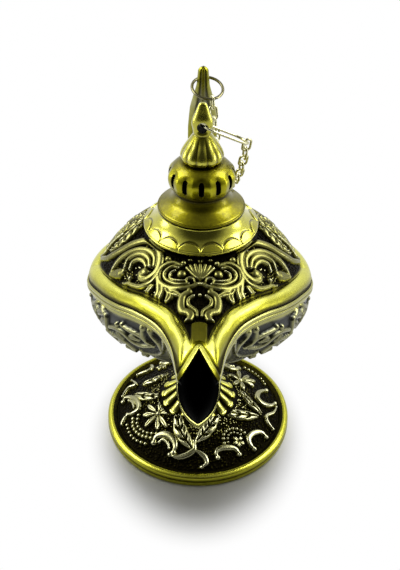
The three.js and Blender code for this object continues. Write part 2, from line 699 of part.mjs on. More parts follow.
// The dome's height at a radius near the collar, from the curve that the dome's columns start with
function domeHeight(radius) {
  const share = (radius - SHELL_TOP_RADIUS) / (DOME_SHOULDER_RADIUS - SHELL_TOP_RADIUS);
  return mix(SHELL_TOP_HEIGHT, DOME_SHOULDER_HEIGHT, share);
}

// Collar: spigot in the shell, petal flange on the dome and a neck with the lid's seat
function collar() {
  const under = (r) => domeHeight(r) + SEAT_GAP;
  const spigot = SHELL_TOP_RADIUS - SEAT_GAP;
  const flangeTop = under(COLLAR_FLANGE_RADIUS) + COLLAR_FLANGE_HEIGHT;
  const profile = closeProfile([
    flat(COLLAR_BORE_RADIUS, SHELL_TOP_HEIGHT - COLLAR_SPIGOT_DEPTH),
    flat(spigot, SHELL_TOP_HEIGHT - COLLAR_SPIGOT_DEPTH),
    flat(spigot, under(SHELL_TOP_RADIUS)),
    flat(COLLAR_FLANGE_RADIUS, under(COLLAR_FLANGE_RADIUS)),
    flat(COLLAR_FLANGE_RADIUS, flangeTop - 0.4),
    flat(COLLAR_FLANGE_RADIUS - 0.5, flangeTop),
    flat(mix(COLLAR_FLANGE_RADIUS, COLLAR_TOP_RADIUS, 0.6), mix(flangeTop, COLLAR_TOP_HEIGHT, 0.3)),
    flat(COLLAR_TOP_RADIUS - 0.1, mix(flangeTop, COLLAR_TOP_HEIGHT, 0.7)),
    flat(COLLAR_TOP_RADIUS, COLLAR_TOP_HEIGHT - 0.3),
    flat(COLLAR_TOP_RADIUS - 0.2, COLLAR_TOP_HEIGHT),
    flat(COLLAR_BORE_RADIUS, COLLAR_TOP_HEIGHT),
  ]);
  return revolve(profile, COLLAR_PETALS * STEPS_PER_RIB, (v) => {
    if (v.z < flangeTop - 0.1 || Math.hypot(v.x, v.y) < COLLAR_FLANGE_RADIUS - 0.6) return;
    ribbed(v, COLLAR_PETALS, COLLAR_PETAL_DEPTH);
  });
}

const lidSeat = COLLAR_TOP_HEIGHT + SEAT_GAP;
const lidRimTop = lidSeat + LID_RIM_THICKNESS;
const neckHeight = lidSeat + LID_NECK_HEIGHT;
const drumMiddle = neckHeight + DRUM_HEIGHT * 0.57;
const drumTop = neckHeight + DRUM_HEIGHT;

// Lid: plug, flared rim and a hollow drum pierced by vent slots
function lidBase() {
  const rim = COLLAR_TOP_RADIUS + LID_RIM_OVERHANG;
  const plug = COLLAR_BORE_RADIUS - LID_PLUG_GAP;
  const plugFoot = lidSeat - LID_PLUG_DEPTH;
  const outer = [
    flat(plug, plugFoot),
    flat(plug, lidSeat),
    flat(rim - 0.2, lidSeat),
    flat(rim, mix(lidSeat, lidRimTop, 0.5)),
    flat(rim - 0.2, lidRimTop),
    flat(mix(rim, LID_NECK_RADIUS, 0.5), mix(lidRimTop, neckHeight, 0.15)),
    flat(mix(rim, LID_NECK_RADIUS, 0.85), mix(lidRimTop, neckHeight, 0.5)),
    flat(LID_NECK_RADIUS, neckHeight),
    flat(mix(LID_NECK_RADIUS, DRUM_RADIUS, 0.8), mix(neckHeight, drumMiddle, 0.4)),
    flat(DRUM_RADIUS, drumMiddle),
    flat(mix(DRUM_TOP_RADIUS, DRUM_RADIUS, 0.8), mix(drumMiddle, drumTop, 0.5)),
    flat(mix(DRUM_TOP_RADIUS, DRUM_RADIUS, 0.3), mix(drumMiddle, drumTop, 0.88)),
    flat(DRUM_TOP_RADIUS, drumTop),
  ];
  const bore = FINIAL_SCREW.shank + SCREW_FIT;
  const ceiling = drumTop - LID_WALL - 0.3;
  const inner = [
    flat(bore, drumTop),
    flat(bore, ceiling),
    flat(DRUM_TOP_RADIUS - 0.6, ceiling),
    flat(mix(DRUM_TOP_RADIUS, DRUM_RADIUS, 0.75) - LID_WALL, mix(drumMiddle, drumTop, 0.4)),
    flat(DRUM_RADIUS - LID_WALL, drumMiddle),
    flat(LID_NECK_RADIUS - LID_WALL, neckHeight),
    flat(mix(plug, LID_NECK_RADIUS, 0.7) - LID_WALL, lidRimTop),
    flat(plug - LID_WALL, lidSeat - 0.4),
    flat(plug - LID_WALL, plugFoot),
  ];
  const shell = revolve(closeProfile([...outer, ...inner]), VENT_SLOTS * 2);
  const slots = [];
  for (let i = 0; i < VENT_SLOTS; i += 1) {
    const slot = new THREE.BoxGeometry(DRUM_RADIUS, VENT_WIDTH, VENT_HEIGHT);
    slot.translate(DRUM_RADIUS, 0, drumMiddle + 0.2);
    slots.push(slot.rotateZ((i / VENT_SLOTS) * Math.PI * 2));
  }
  return cut(shell, ...slots);
}

const finialFoot = drumTop + SEAT_GAP;
const knobNeck = finialFoot + FINIAL_DOME_HEIGHT;
const knobHole = knobNeck + KNOB_HOLE_RISE;

// Finial: lobed dome, thin neck and a flattened drop-shaped knob drilled from front to back
function lidFinial() {
  const bore = FINIAL_SCREW.shank + SCREW_FIT;
  const boreTop = finialFoot + FINIAL_SCREW.length - LID_WALL;
  const dome = curveThrough(
    [
      flat(FINIAL_RADIUS - 0.5, finialFoot),
      flat(FINIAL_RADIUS, finialFoot + FINIAL_DOME_HEIGHT * 0.14),
      flat(FINIAL_RADIUS - 0.5, finialFoot + FINIAL_DOME_HEIGHT * 0.4),
      flat(FINIAL_RADIUS * 0.58, finialFoot + FINIAL_DOME_HEIGHT * 0.74),
      flat(KNOB_NECK_RADIUS, knobNeck),
    ],
    7,
  );
  const knob = curveThrough(
    [
      flat(KNOB_NECK_RADIUS, knobNeck),
      flat(KNOB_RADIUS, knobNeck + KNOB_HEIGHT * 0.3),
      flat(KNOB_RADIUS * 0.75, knobNeck + KNOB_HEIGHT * 0.56),
      flat(KNOB_RADIUS * 0.26, knobNeck + KNOB_HEIGHT * 0.9),
      flat(0, knobNeck + KNOB_HEIGHT),
    ],
    6,
  ).slice(1);
  const profile = [flat(0, boreTop), flat(bore, boreTop), flat(bore, finialFoot), ...dome, ...knob];
  const body = revolve(profile, FINIAL_LOBES * STEPS_PER_RIB, (v) => {
    const outside = Math.hypot(v.x, v.y) > bore + 0.1;
    if (v.z > knobNeck) {
      v.y *= mix(1, KNOB_FLATNESS, THREE.MathUtils.smoothstep(v.z, knobNeck, knobHole - 0.6));
    } else if (outside && v.z > finialFoot + 0.1) {
      const fade = 1 - THREE.MathUtils.smoothstep(v.z, mix(finialFoot, knobNeck, 0.6), knobNeck);
      ribbed(v, FINIAL_LOBES, FINIAL_LOBE_DEPTH * fade);
    }
  });
  const drill = KNOB_RADIUS * 2;
  return cut(body, rod(at(0, -drill, knobHole), at(0, drill, knobHole), KNOB_HOLE_RADIUS));
}

function finialScrew() {
  const seat = drumTop - LID_WALL - 0.3 - SEAT_GAP;
  return revolve(screwProfile(FINIAL_SCREW, FINIAL_SCREW.length), 16).translate(0, 0, seat);
}

// The line of the handle's screw: square to the bowl's wall at the handle's root
function handleScrewAxis() {
  const { point, normal } = bowlAtHeight(SEAM_HEIGHT - HANDLE_ROOT_DROP);
  const along = at(0, normal.x, normal.y);
  const root = at(0, point.x, point.y);
  const seat = root.clone().addScaledVector(along, -CAST_WALL - SEAT_GAP - 0.15);
  const end = seat.clone().addScaledVector(along, HANDLE_SCREW.length + SCREW_FIT);
  return { root, along, from: seat, to: end };
}

function handleScrew() {
  const { along, from } = handleScrewAxis();
  const turn = new THREE.Quaternion().setFromUnitVectors(at(0, 0, 1), along);
  const screw = revolve(screwProfile(HANDLE_SCREW, HANDLE_SCREW.length), 16);
  return screw.applyQuaternion(turn).translate(from.x, from.y, from.z);
}

// One section of the handle, a softened diamond that leaves a crease along the middle
function handleSection(centre, along, half, thick) {
  const across = at(1, 0, 0);
  const out = along.clone().cross(across).normalize();
  const ring = [];
  const sides = 12;
  for (let i = 0; i < sides; i += 1) {
    const turn = (i / sides) * Math.PI * 2;
    const power = 2 / HANDLE_SECTION_POWER;
    const x = Math.sign(Math.cos(turn)) * Math.pow(Math.abs(Math.cos(turn)), power) * half;
    const y = Math.sign(Math.sin(turn)) * Math.pow(Math.abs(Math.sin(turn)), power) * thick;
    ring.push(centre.clone().addScaledVector(across, x).addScaledVector(out, y));
  }
  return ring;
}

// Handle: a tapering strap swept up behind the body, seated on the bowl with a flared pad
function handle() {
  const { root, along, from, to } = handleScrewAxis();
  const start = root.clone().addScaledVector(along, -CAST_WALL);
  const neck = root.clone().addScaledVector(along, 3.4);
  const path = new THREE.CatmullRomCurve3([
    start,
    neck,
    ...HANDLE_STATIONS.map(({ back, height }) => at(0, back, height)),
  ]);
  const first = HANDLE_STATIONS[0];
  const halves = [HANDLE_PAD.half, first.half + 0.5, ...HANDLE_STATIONS.map((s) => s.half)];
  const thicks = [HANDLE_PAD.thick, first.thick + 0.4, ...HANDLE_STATIONS.map((s) => s.thick)];
  const between = (values, t) => {
    const place = t * (values.length - 1);
    const low = Math.min(Math.floor(place), values.length - 2);
    return mix(values[low], values[low + 1], place - low);
  };
  const rings = [];
  const steps = 22;
  for (let i = 0; i <= steps; i += 1) {
    const t = i / steps;
    const [half, thick] = [between(halves, t), between(thicks, t)];
    rings.push(handleSection(path.getPoint(t), path.getTangent(t), half, thick));
  }
  const tip = path.getPoint(1);
  const tipAlong = path.getTangent(1);
  const last = HANDLE_STATIONS[HANDLE_STATIONS.length - 1];
  for (const turn of [30, 60, 82]) {
    const shrink = Math.cos(radians(turn));
    const centre = tip.clone().addScaledVector(tipAlong, HANDLE_END_ROUND * Math.sin(radians(turn)));
    rings.push(handleSection(centre, tipAlong, last.half * shrink, last.thick * shrink));
  }
  const bowlSpace = [flat(0, BOWL_BASE_HEIGHT - 1), flat(BOWL_BASE_RADIUS, BOWL_BASE_HEIGHT - 1)];
  for (let i = 12; i >= 0; i -= 1) {
    const p = bowlPoint(i / 12);
    bowlSpace.push(flat(p.x + RIM_PROUD + SEAT_GAP, p.y - SEAT_GAP));
  }
  bowlSpace.push(flat(BODY_RADIUS + RIM_PROUD + SEAT_GAP, SEAM_HEIGHT), flat(0, SEAM_HEIGHT));
  return cut(loft(rings, false), revolve(bowlSpace, 64), rod(from, to, HANDLE_SCREW.shank + SCREW_FIT));
}

// A closed loop of round wire along a flat oval: half a turn at each end and straight sides
function wireOval(length, width, wire) {
  const bend = (width - wire) / 2;
  const reach = (length - wire) / 2 - bend;
  const rings = [];
  for (const end of [1, -1]) {
    for (let i = 0; i <= BEND_STEPS; i += 1) {
      const turn = (i / BEND_STEPS - 0.5) * Math.PI + (end < 0 ? Math.PI : 0);
      const out = at(Math.cos(turn), Math.sin(turn), 0);
      const centre = at(end * reach, 0, 0).addScaledVector(out, bend);
      const ring = [];
      for (let k = 0; k < WIRE_SIDES; k += 1) {
        const spin = (k / WIRE_SIDES) * Math.PI * 2;
        const point = centre.clone().addScaledVector(out, (wire / 2) * Math.cos(spin));
        ring.push(point.setZ((wire / 2) * Math.sin(spin)));
      }
      rings.push(ring);
    }
  }
  return loft(rings, true);
}

const hangRingCentre = at(
  HANG_RING_SIDE,
  HANDLE_END.back - HANG_RING_FORWARD,
  HANDLE_END.height - HANG_RING_DROP,
);
const lidRingEnd = at(LID_RING_END.side, LID_RING_END.back, knobHole - LID_RING_END.drop);

// Lowest point of the tilted ring on the handle, where the chain starts
function hangRingLow() {
  const tilt = radians(HANG_RING_TILT);
  const turn = radians(HANG_RING_TURN);
  const out = at(Math.sin(turn) * Math.cos(tilt), -Math.cos(turn) * Math.cos(tilt), -Math.sin(tilt));
  return hangRingCentre.clone().addScaledVector(out, HANG_RING_RADIUS);
}

// The root of a rising function, found by halving the interval
function rootOf(rising, low, high) {
  let [a, b] = [low, high];
  for (let i = 0; i < 60; i += 1) {
    const middle = (a + b) / 2;
    if (rising(middle) > 0) b = middle;
    else a = middle;
  }
  return (a + b) / 2;
}

const LINK_PITCH = LINK_LENGTH - 2 * LINK_WIRE - SEAT_GAP;
const linkHook = (LINK_WIRE + SEAT_GAP) / 2;

// Slopes of equal links that hang between two ends a run across and a climb up
function hangingAngles(run, climb) {
  const anglesFor = (lean, curl) =>
    Array.from({ length: CHAIN_LINKS }, (_, i) => Math.atan(lean + curl * (i - (CHAIN_LINKS - 1) / 2)));
  const total = (angles, part) => LINK_PITCH * angles.reduce((sum, angle) => sum + part(angle), 0);
  const leanFor = (curl) => rootOf((lean) => total(anglesFor(lean, curl), Math.sin) - climb, -40, 40);
  const curl = rootOf((c) => run - total(anglesFor(leanFor(c), c), Math.cos), 1e-3, 20);
  return anglesFor(leanFor(curl), curl);
}

// Place of the lid's ring: from inside the knob's hole along to the end that carries the chain
function lidRingFrame() {
  const near = at(LID_RING_INSET, 0, knobHole);
  const span = lidRingEnd.clone().sub(near);
  const along = span.clone().normalize();
  const level = at(0, 0, 1).cross(along).normalize();
  return { near, span, along, across: level.applyAxisAngle(along, radians(-LID_RING_ROLL)) };
}

// Places of the links: each is hooked into the one before, from the handle's ring to the lid's ring
function chainPlaces() {
  const startWire = hangRingLow();
  const startHook = (HANG_RING_WIRE + LINK_WIRE) / 2 + SEAT_GAP - linkHook;
  const endHook = (LID_RING_WIRE + LINK_WIRE) / 2 + SEAT_GAP - linkHook;
  let start = startWire.clone();
  let end = lidRingEnd.clone();
  let across = at(0, 0, 0);
  let angles = [];
  const along = (angle) => across.clone().multiplyScalar(Math.cos(angle)).setZ(Math.sin(angle));
  for (let pass = 0; pass < 6; pass += 1) {
    const span = end.clone().sub(start);
    across = at(span.x, span.y, 0).normalize();
    angles = hangingAngles(Math.hypot(span.x, span.y), span.z);
    start = startWire.clone().addScaledVector(along(angles[0]), -startHook);
    end = lidRingEnd.clone().addScaledVector(along(angles[CHAIN_LINKS - 1]), endHook);
  }
  const side = at(0, 0, 1).cross(across);
  const joint = start.clone();
  return angles.map((angle, i) => {
    const direction = along(angle);
    const centre = joint.clone().addScaledVector(direction, LINK_PITCH / 2);
    joint.addScaledVector(direction, LINK_PITCH);
    const upright = direction.clone().cross(side);
    const basis = new THREE.Matrix4();
    if (i % 2 === 0) basis.makeBasis(direction, upright.negate(), side);
    else basis.makeBasis(direction, side, upright);
    return { centre, basis };
  });
}

const part = new THREE.Group();

function place(name, geometry, material, parent = part) {
  const mesh = new THREE.Mesh(geometry, material);
  mesh.name = name;
  parent.add(mesh);
  return mesh;
}

place("foot", foot(), antiqueBrass);
place("stem_screw", stemScrew(), screwSteel);
place("stem_nut", stemNut(), screwSteel);
place("lower_bowl", lowerBowl(), agedZinc);
place("upper_shell", upperShell(), antiqueBrass);
place("collar", collar(), antiqueBrass);
place("incense_cup", incenseCup(), cupBrass);
place("handle", handle(), antiqueBrass);
place("handle_screw", handleScrew(), screwSteel);

const lid = new THREE.Group();
part.add(lid);
place("lid_base", lidBase(), antiqueBrass, lid);
place("lid_finial", lidFinial(), antiqueBrass, lid);
place("finial_screw", finialScrew(), screwSteel, lid);

// Ring hung round the handle, tilted so that its lowest point faces the lid
const hangRing = place(
  "chain_ring",
  new THREE.TorusGeometry(HANG_RING_RADIUS, HANG_RING_WIRE / 2, WIRE_SIDES, 24),
  chainWire,
);
hangRing.position.copy(hangRingCentre);
hangRing.rotation.set(radians(HANG_RING_TILT), 0, radians(HANG_RING_TURN), "ZXY");

// Long ring from the knob's hole to the end of the chain
const ringFrame = lidRingFrame();
const lidRing = place(
  "lid_ring",
  wireOval(ringFrame.span.length() + LID_RING_WIRE, LID_RING_HALF_WIDTH * 2 + LID_RING_WIRE, LID_RING_WIRE),
  chainWire,
  lid,
);
lidRing.position.copy(ringFrame.near).addScaledVector(ringFrame.span, 0.5);
lidRing.setRotationFromMatrix(
  new THREE.Matrix4().makeBasis(
    ringFrame.along,
    ringFrame.across,
    ringFrame.along.clone().cross(ringFrame.across),
  ),
);

// Chain
const linkShape = wireOval(LINK_LENGTH, LINK_WIDTH, LINK_WIRE);
chainPlaces().forEach(({ centre, basis }, i) => {
  const link = place(`chain_link_${String(i + 1).padStart(2, "0")}`, linkShape, chainWire);
  link.position.copy(centre);
  link.setRotationFromMatrix(basis);
});

export default part;
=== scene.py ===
# Genie lamp incense burner: cast relief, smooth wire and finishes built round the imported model.
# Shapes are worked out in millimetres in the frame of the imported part: +Z up, spout along -Y.
import math

import bpy
import numpy as np
from mathutils import Matrix, Vector


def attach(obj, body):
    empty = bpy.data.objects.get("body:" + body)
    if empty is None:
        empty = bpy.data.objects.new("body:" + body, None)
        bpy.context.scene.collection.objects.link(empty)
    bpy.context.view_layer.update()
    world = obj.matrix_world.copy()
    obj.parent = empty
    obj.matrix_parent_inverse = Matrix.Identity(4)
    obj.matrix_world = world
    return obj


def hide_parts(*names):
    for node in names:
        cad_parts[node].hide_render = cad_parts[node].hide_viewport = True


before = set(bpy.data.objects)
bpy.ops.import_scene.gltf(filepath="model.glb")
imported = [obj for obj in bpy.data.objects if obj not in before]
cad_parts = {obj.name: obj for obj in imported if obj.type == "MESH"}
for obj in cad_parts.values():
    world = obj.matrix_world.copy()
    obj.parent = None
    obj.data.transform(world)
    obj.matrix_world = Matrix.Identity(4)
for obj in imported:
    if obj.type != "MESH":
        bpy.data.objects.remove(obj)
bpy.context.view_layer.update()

MM = 0.001
rng = np.random.default_rng(7)

# Main sizes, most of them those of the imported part
SEAT_GAP = 0.3
CAST_WALL = 1.4
MOUTH_WALL = 0.8
CORNER_WALL = 0.2
CORNER_TAPER = 2
FOOT_RADIUS = 25
FOOT_RIM_HEIGHT = 3.4
FOOT_RIM_GROOVE = 0.3
STEM_BASE = (9.2, 8.4)
STEM_WAIST = (4.8, 19)
STEM_TOP_RADIUS = 8.2
STEM_RIBS = 16
STEM_RIB_DEPTH = 0.9
SCREW_BORE = 1.8
SCREW_POCKET = 3.7
BODY_RADIUS = 27.5
SEAM_HEIGHT = 47
BOWL_BASE = (8.5, 32)
BOWL_INSET = 0.2
BOWL_FULLNESS = 0.85
RIM_HEIGHT = 2.9
RIM_PROUD = 0.45
SPOUT_REACH = 52.5
SPOUT_TIP_RISE = 5
SPOUT_TAPER = 5
SPOUT_SWEEP = 1.1
LIP_NOTCH = (37.5, 11.6)
LIP_BOW = (2.2, -1.6, -0.6)
SEAM_SIDE_RISE = 0.9
SEAM_STATIONS = [
    (23.4, 10, 4), (19.2, 16.7, 6.6), (14.2, 22.4, 8.9), (9.1, 27.9, 9.6), (6.1, 34.8, 9.9), (4, 47, 11),
]
SHELL_TOP = (11.2, 64.2)
DOME_SHOULDER = (18.8, 61.2)
BAND_WIDTH = 3.8
BAND_SIDE_RISE = 5
BAND_FRONT_RISE = 1.2
BAND_BULGE = 1
BAND_POINT_REACH = 29.5
BAND_EASE = 0.8
SEAM_RISES = math.radians(55), math.radians(90)
BAND_RISES = math.radians(40), math.radians(88)
GUIDE_START = math.pi * 0.6
BACK_SAMPLES = 200
FRONT_SAMPLES = 60
LIP_SAMPLES = 60
CORNER_SHARE = 0.45
TINY = 1e-12
BLUR_STEPS = 10
# Relief tone, rubbing and painted light: tone of the ground, what rubbed tops add, where they start and end,
# and the painted highlight and shade that standing out adds
DOME_WEAR_AND_LIGHT = (-0.15, 0.82, 0.15, 0.85, 0.6)
BOWL_WEAR_AND_LIGHT = (0.3, 0.22, 0.1, 0.9, 0.55)
FOOT_WEAR_AND_LIGHT = (-0.13, 0.95, 0.15, 0.8, 0.5)


# Small helpers
def mix(a, b, share):
    return a + (b - a) * share


def smooth(value, low, high):
    t = np.clip((value - low) / (high - low), 0, 1)
    return t * t * (3 - 2 * t)


def reach_of(points):
    """Distance of points from the Z axis."""
    return np.hypot(points[..., 0], points[..., 1])


def full_turn(count):
    """Angles spaced evenly round one turn."""
    return np.linspace(0, 2 * math.pi, count, endpoint=False)


def bump_at(gap, place, width):
    """A smooth hump of height 1 across a gap."""
    return np.exp(-(((gap - place) / width) ** 2))


def within(value, start, end):
    """1 between two limits that are each eased over a range, and 0 outside them."""
    return smooth(value, *start) * (1 - smooth(value, *end))


def crown(share, squareness=2):
    """A round back: 1 in its middle and 0 from its edge on."""
    return np.sqrt(np.clip(1 - share**squareness, 0, 1))


def curve_through(points, count):
    """Centripetal curve through points, sampled evenly from the first to the last."""
    p = np.asarray(points, float)
    last = len(p) - 2
    p = np.vstack([2 * p[0] - p[1], p, 2 * p[-1] - p[-2]])
    t = np.linspace(0, last + 1, count)
    k = np.minimum(t.astype(int), last)
    w = (t - k)[:, None]
    p0, p1, p2, p3 = p[k], p[k + 1], p[k + 2], p[k + 3]
    d0, d1, d2 = (np.sqrt(np.linalg.norm(b - a, axis=1))[:, None] for a, b in ((p0, p1), (p1, p2), (p2, p3)))
    m1 = d1 * ((p1 - p0) / d0 - (p2 - p0) / (d0 + d1) + (p2 - p1) / d1)
    m2 = d1 * ((p2 - p1) / d1 - (p3 - p1) / (d1 + d2) + (p3 - p2) / d2)
    return p1 + m1 * w + (3 * (p2 - p1) - 2 * m1 - m2) * w**2 + (2 * (p1 - p2) + m1 + m2) * w**3


def between(start, end, share):
    """A stroke straight from start to end, with one point on the way."""
    start, end = np.array(start, float), np.array(end, float)
    return np.array([start, mix(start, end, share), end])


def along(points):
    """Running length of a line of points."""
    return np.concatenate([[0], np.cumsum(np.linalg.norm(np.diff(points, axis=0), axis=1))])


def even(points, count):
    """A line of points sampled again at equal steps."""
    run = along(points)
    want = np.linspace(0, run[-1], count)
    return np.stack([np.interp(want, run, points[:, k]) for k in range(points.shape[1])], axis=1)


def ring_normals(points):
    """Unit normals of a grid of points whose first axis closes on itself."""
    wide = np.concatenate([points[-1:], points, points[:1]])
    n = np.cross(np.gradient(wide, axis=0), np.gradient(wide, axis=1))[1:-1]
    return n / np.maximum(np.linalg.norm(n, axis=-1, keepdims=True), TINY)


def solid_mesh(name, points, faces):
    """A closed mesh from points in millimetres, its faces turned outwards."""
    mesh = bpy.data.meshes.new(name)
    mesh.from_pydata((points * MM).tolist(), [], faces)
    mesh.calc_loop_triangles()
    a, b, c = (np.array([points[t.vertices[k]] for t in mesh.loop_triangles]) for k in range(3))
    if (np.cross(a, b) * c).sum() < 0:
        mesh.flip_normals()
    return mesh


def closed_faces(grid):
    """Quads of a grid of point numbers that closes both ways."""
    after = np.roll(grid, -1, axis=0)
    quads = np.stack([grid, after, np.roll(after, -1, axis=1), np.roll(grid, -1, axis=1)], axis=-1)
    return quads.reshape(-1, 4).tolist()


def loft_faces(grid):
    """Faces of rings of point numbers: quads from ring to ring and a flat face at each end."""
    a, b = grid[:-1], grid[1:]
    sides = np.stack([a, np.roll(a, -1, axis=1), np.roll(b, -1, axis=1), b], axis=-1)
    return sides.reshape(-1, 4).tolist() + [grid[0][::-1].tolist(), grid[-1].tolist()]


def turned_faces(grid):
    """Faces of turned columns whose ends meet the axis."""
    return loft_faces(grid.T)


def numbered(columns):
    """Numbers of a grid's points, laid out as the grid."""
    return np.arange(columns[..., 0].size).reshape(columns.shape[:2])


def on_rows(columns, first, last=None):
    """1 on the points of each column from first to last, and 0 on the others."""
    share = np.zeros(columns.shape[:2])
    share[:, first:last] = 1
    return share


def show(name, data):
    """A new object in the scene."""
    thing = bpy.data.objects.new(name, data)
    bpy.context.scene.collection.objects.link(thing)
    return thing


def smooth_piece(name, columns, body, material, node, tone, gilt=None, faces=closed_faces):
    """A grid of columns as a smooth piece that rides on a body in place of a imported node.

    Its points carry their tone and, where the metal has two finishes, their share of gilt."""
    mesh = solid_mesh(name, columns.reshape(-1, 3), faces(numbered(columns)))
    mesh.polygons.foreach_set("use_smooth", [True] * len(mesh.polygons))
    for key, data in (("tone", tone), ("gilt", gilt)):
        if data is not None:
            values = np.broadcast_to(data, columns.shape[:2]).ravel().astype(np.float32)
            mesh.attributes.new(key, "FLOAT", "POINT").data.foreach_set("value", values)
    mesh.materials.append(material)
    piece = show(name, mesh)
    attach(piece, body)
    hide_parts(node)
    return piece


# The seam and the columns of the two body shells
def back_arc(turn):
    rise = SEAM_SIDE_RISE * smooth(math.pi - turn, *SEAM_RISES)
    return np.stack([BODY_RADIUS * np.sin(turn), -BODY_RADIUS * np.cos(turn), SEAM_HEIGHT + rise], axis=-1)


def seam_half():
    """Right half of the seam, from the middle of the back to the corner of the mouth."""
    back = back_arc(np.linspace(math.pi, math.pi / 2, BACK_SAMPLES))
    stations = [(half, -forward, SEAM_HEIGHT + rise) for half, forward, rise in SEAM_STATIONS]
    guide = np.vstack([back_arc(np.array([GUIDE_START, math.pi / 2])), stations])
    front = curve_through(guide, (len(guide) - 1) * FRONT_SAMPLES + 1)[FRONT_SAMPLES + 1 :]
    return np.vstack([back, front])


def bezier(a, b, c, t):
    return a * (1 - t) ** 2 + 2 * b * t * (1 - t) + c * t**2


def lip_half(corner, middle, end):
    t = np.linspace(0, 1, LIP_SAMPLES)[1:, None]
    return bezier(corner, middle, end, t)


def in_plane(edge, radius, height):
    """Columns of points in the vertical plane of each edge point."""
    reach = reach_of(edge)[:, None]
    return np.stack([edge[:, :1] / reach * radius, edge[:, 1:2] / reach * radius, height], axis=-1)


def wall_at(points):
    return mix(CAST_WALL, MOUTH_WALL, smooth(reach_of(points), BODY_RADIUS, SEAM_STATIONS[-1][1]))


def band_rise(angle):
    return mix(BAND_FRONT_RISE, BAND_SIDE_RISE, smooth(angle, *BAND_RISES))


def angle_from_front(points):
    return np.arctan2(np.abs(points[..., 0]), -points[..., 1])


def soft_least(a, b):
    """The lesser of two lengths, eased where they meet."""
    return -BAND_EASE * np.logaddexp(-a / BAND_EASE, -b / BAND_EASE)


def upper_columns(edge, dome_steps, band_steps):
    """Dome and plain band of the upper shell, from the collar's opening out to the edge."""
    reach = reach_of(edge)[:, None]
    height = edge[:, 2:3]
    band_r = soft_least(reach - BAND_WIDTH, BAND_POINT_REACH)
    band_z = soft_least(height + band_rise(angle_from_front(edge))[:, None], SEAM_HEIGHT + LIP_NOTCH[1])
    t = np.linspace(0, 1, dome_steps)[None, :]
    s = np.linspace(0, 1, band_steps + 1)[None, 1:]
    radius = np.hstack([bezier(SHELL_TOP[0], DOME_SHOULDER[0], band_r, t), mix(band_r, reach, s)])
    rise = np.hstack([bezier(SHELL_TOP[1], DOME_SHOULDER[1], band_z, t), mix(band_z, height, s)])
    return in_plane(edge, radius, rise)


def mirrored(half):
    """A half grid and its mirror image as one ring of columns."""
    left = half[1:-1][::-1] * np.array([-1, 1, 1])
    return np.concatenate([half, left])


def mirrored_values(half):
    return np.concatenate([half, half[1:-1][::-1]])


def bowl_profile(part):
    """Radius and height of the bowl's wall behind the spout, for a share of the way down."""
    turn = np.asarray(part) * math.pi / 2
    top = SEAM_HEIGHT - RIM_HEIGHT
    radius = BOWL_BASE[0] + (BODY_RADIUS - BOWL_INSET - BOWL_BASE[0]) * np.cos(turn) ** BOWL_FULLNESS
    return radius, top - (top - BOWL_BASE[1]) * np.sin(turn)


def toward(start, end, distance):
    """The point a distance from start towards end, never past the middle."""
    way = end - start
    return start + way * min(CORNER_SHARE, distance / max(np.linalg.norm(way), TINY))


def rounded(outline, radius, steps=4):
    """A closed outline with each corner eased by a small curve."""
    p = np.asarray(outline, float)
    t = np.linspace(0, 1, steps)[:, None]
    corners = zip(np.roll(p, 1, axis=0), p, np.roll(p, -1, axis=0))
    return np.vstack([bezier(toward(c, a, radius), c, toward(c, b, radius), t) for a, c, b in corners])


def lathe(profile, segments):
    """Columns of a profile turned about the Z axis, the first one at the front."""
    turn = full_turn(segments)[:, None]
    radius, height = np.asarray(profile, float).T
    across = np.stack([radius * np.sin(turn), -radius * np.cos(turn)], axis=-1)
    return np.concatenate([across, np.broadcast_to(height, (segments, len(height)))[..., None]], axis=-1)


def scaled_radius(points, change):
    """Points with their distance from the Z axis changed by a number of millimetres."""
    radius = np.maximum(reach_of(points), TINY)
    share = ((radius + change) / radius)[..., None]
    return np.concatenate([points[..., :2] * share, points[..., 2:]], axis=-1)


def turn_of(points):
    """Angle about the Z axis from the front."""
    return np.arctan2(points[..., 0], -points[..., 1])


def ribs(turn, count):
    """0 on the crown of a rib and 1 in the groove between two ribs."""
    return 1 - np.abs(np.cos(turn * count / 2))


def blurred(values, spread):
    """Values of a grid averaged with their neighbours, a number of steps each way."""
    for axis in (0, 1):
        for _ in range(spread):
            wide = np.roll(values, 1, axis=axis) + np.roll(values, -1, axis=axis)
            values = (2 * values + wide) / 4
    return values


def wear_and_light_tone(raised, height, wear_and_light):
    """Tone of relief: its ground's, raised on rubbed tops, with painted highlight on what stands out from its
    surroundings and painted shade on the ground just beside it.
    """
    ground, tops, low, high, edges = wear_and_light
    return ground + tops * smooth(raised / height, low, high) + edges * (raised - blurred(raised, BLUR_STEPS))


def dot_glint(raised, low, high):
    """1 on the tops of the ground's dots, where glints are painted, and 0 elsewhere."""
    return smooth(raised, low, high) * (raised < high)


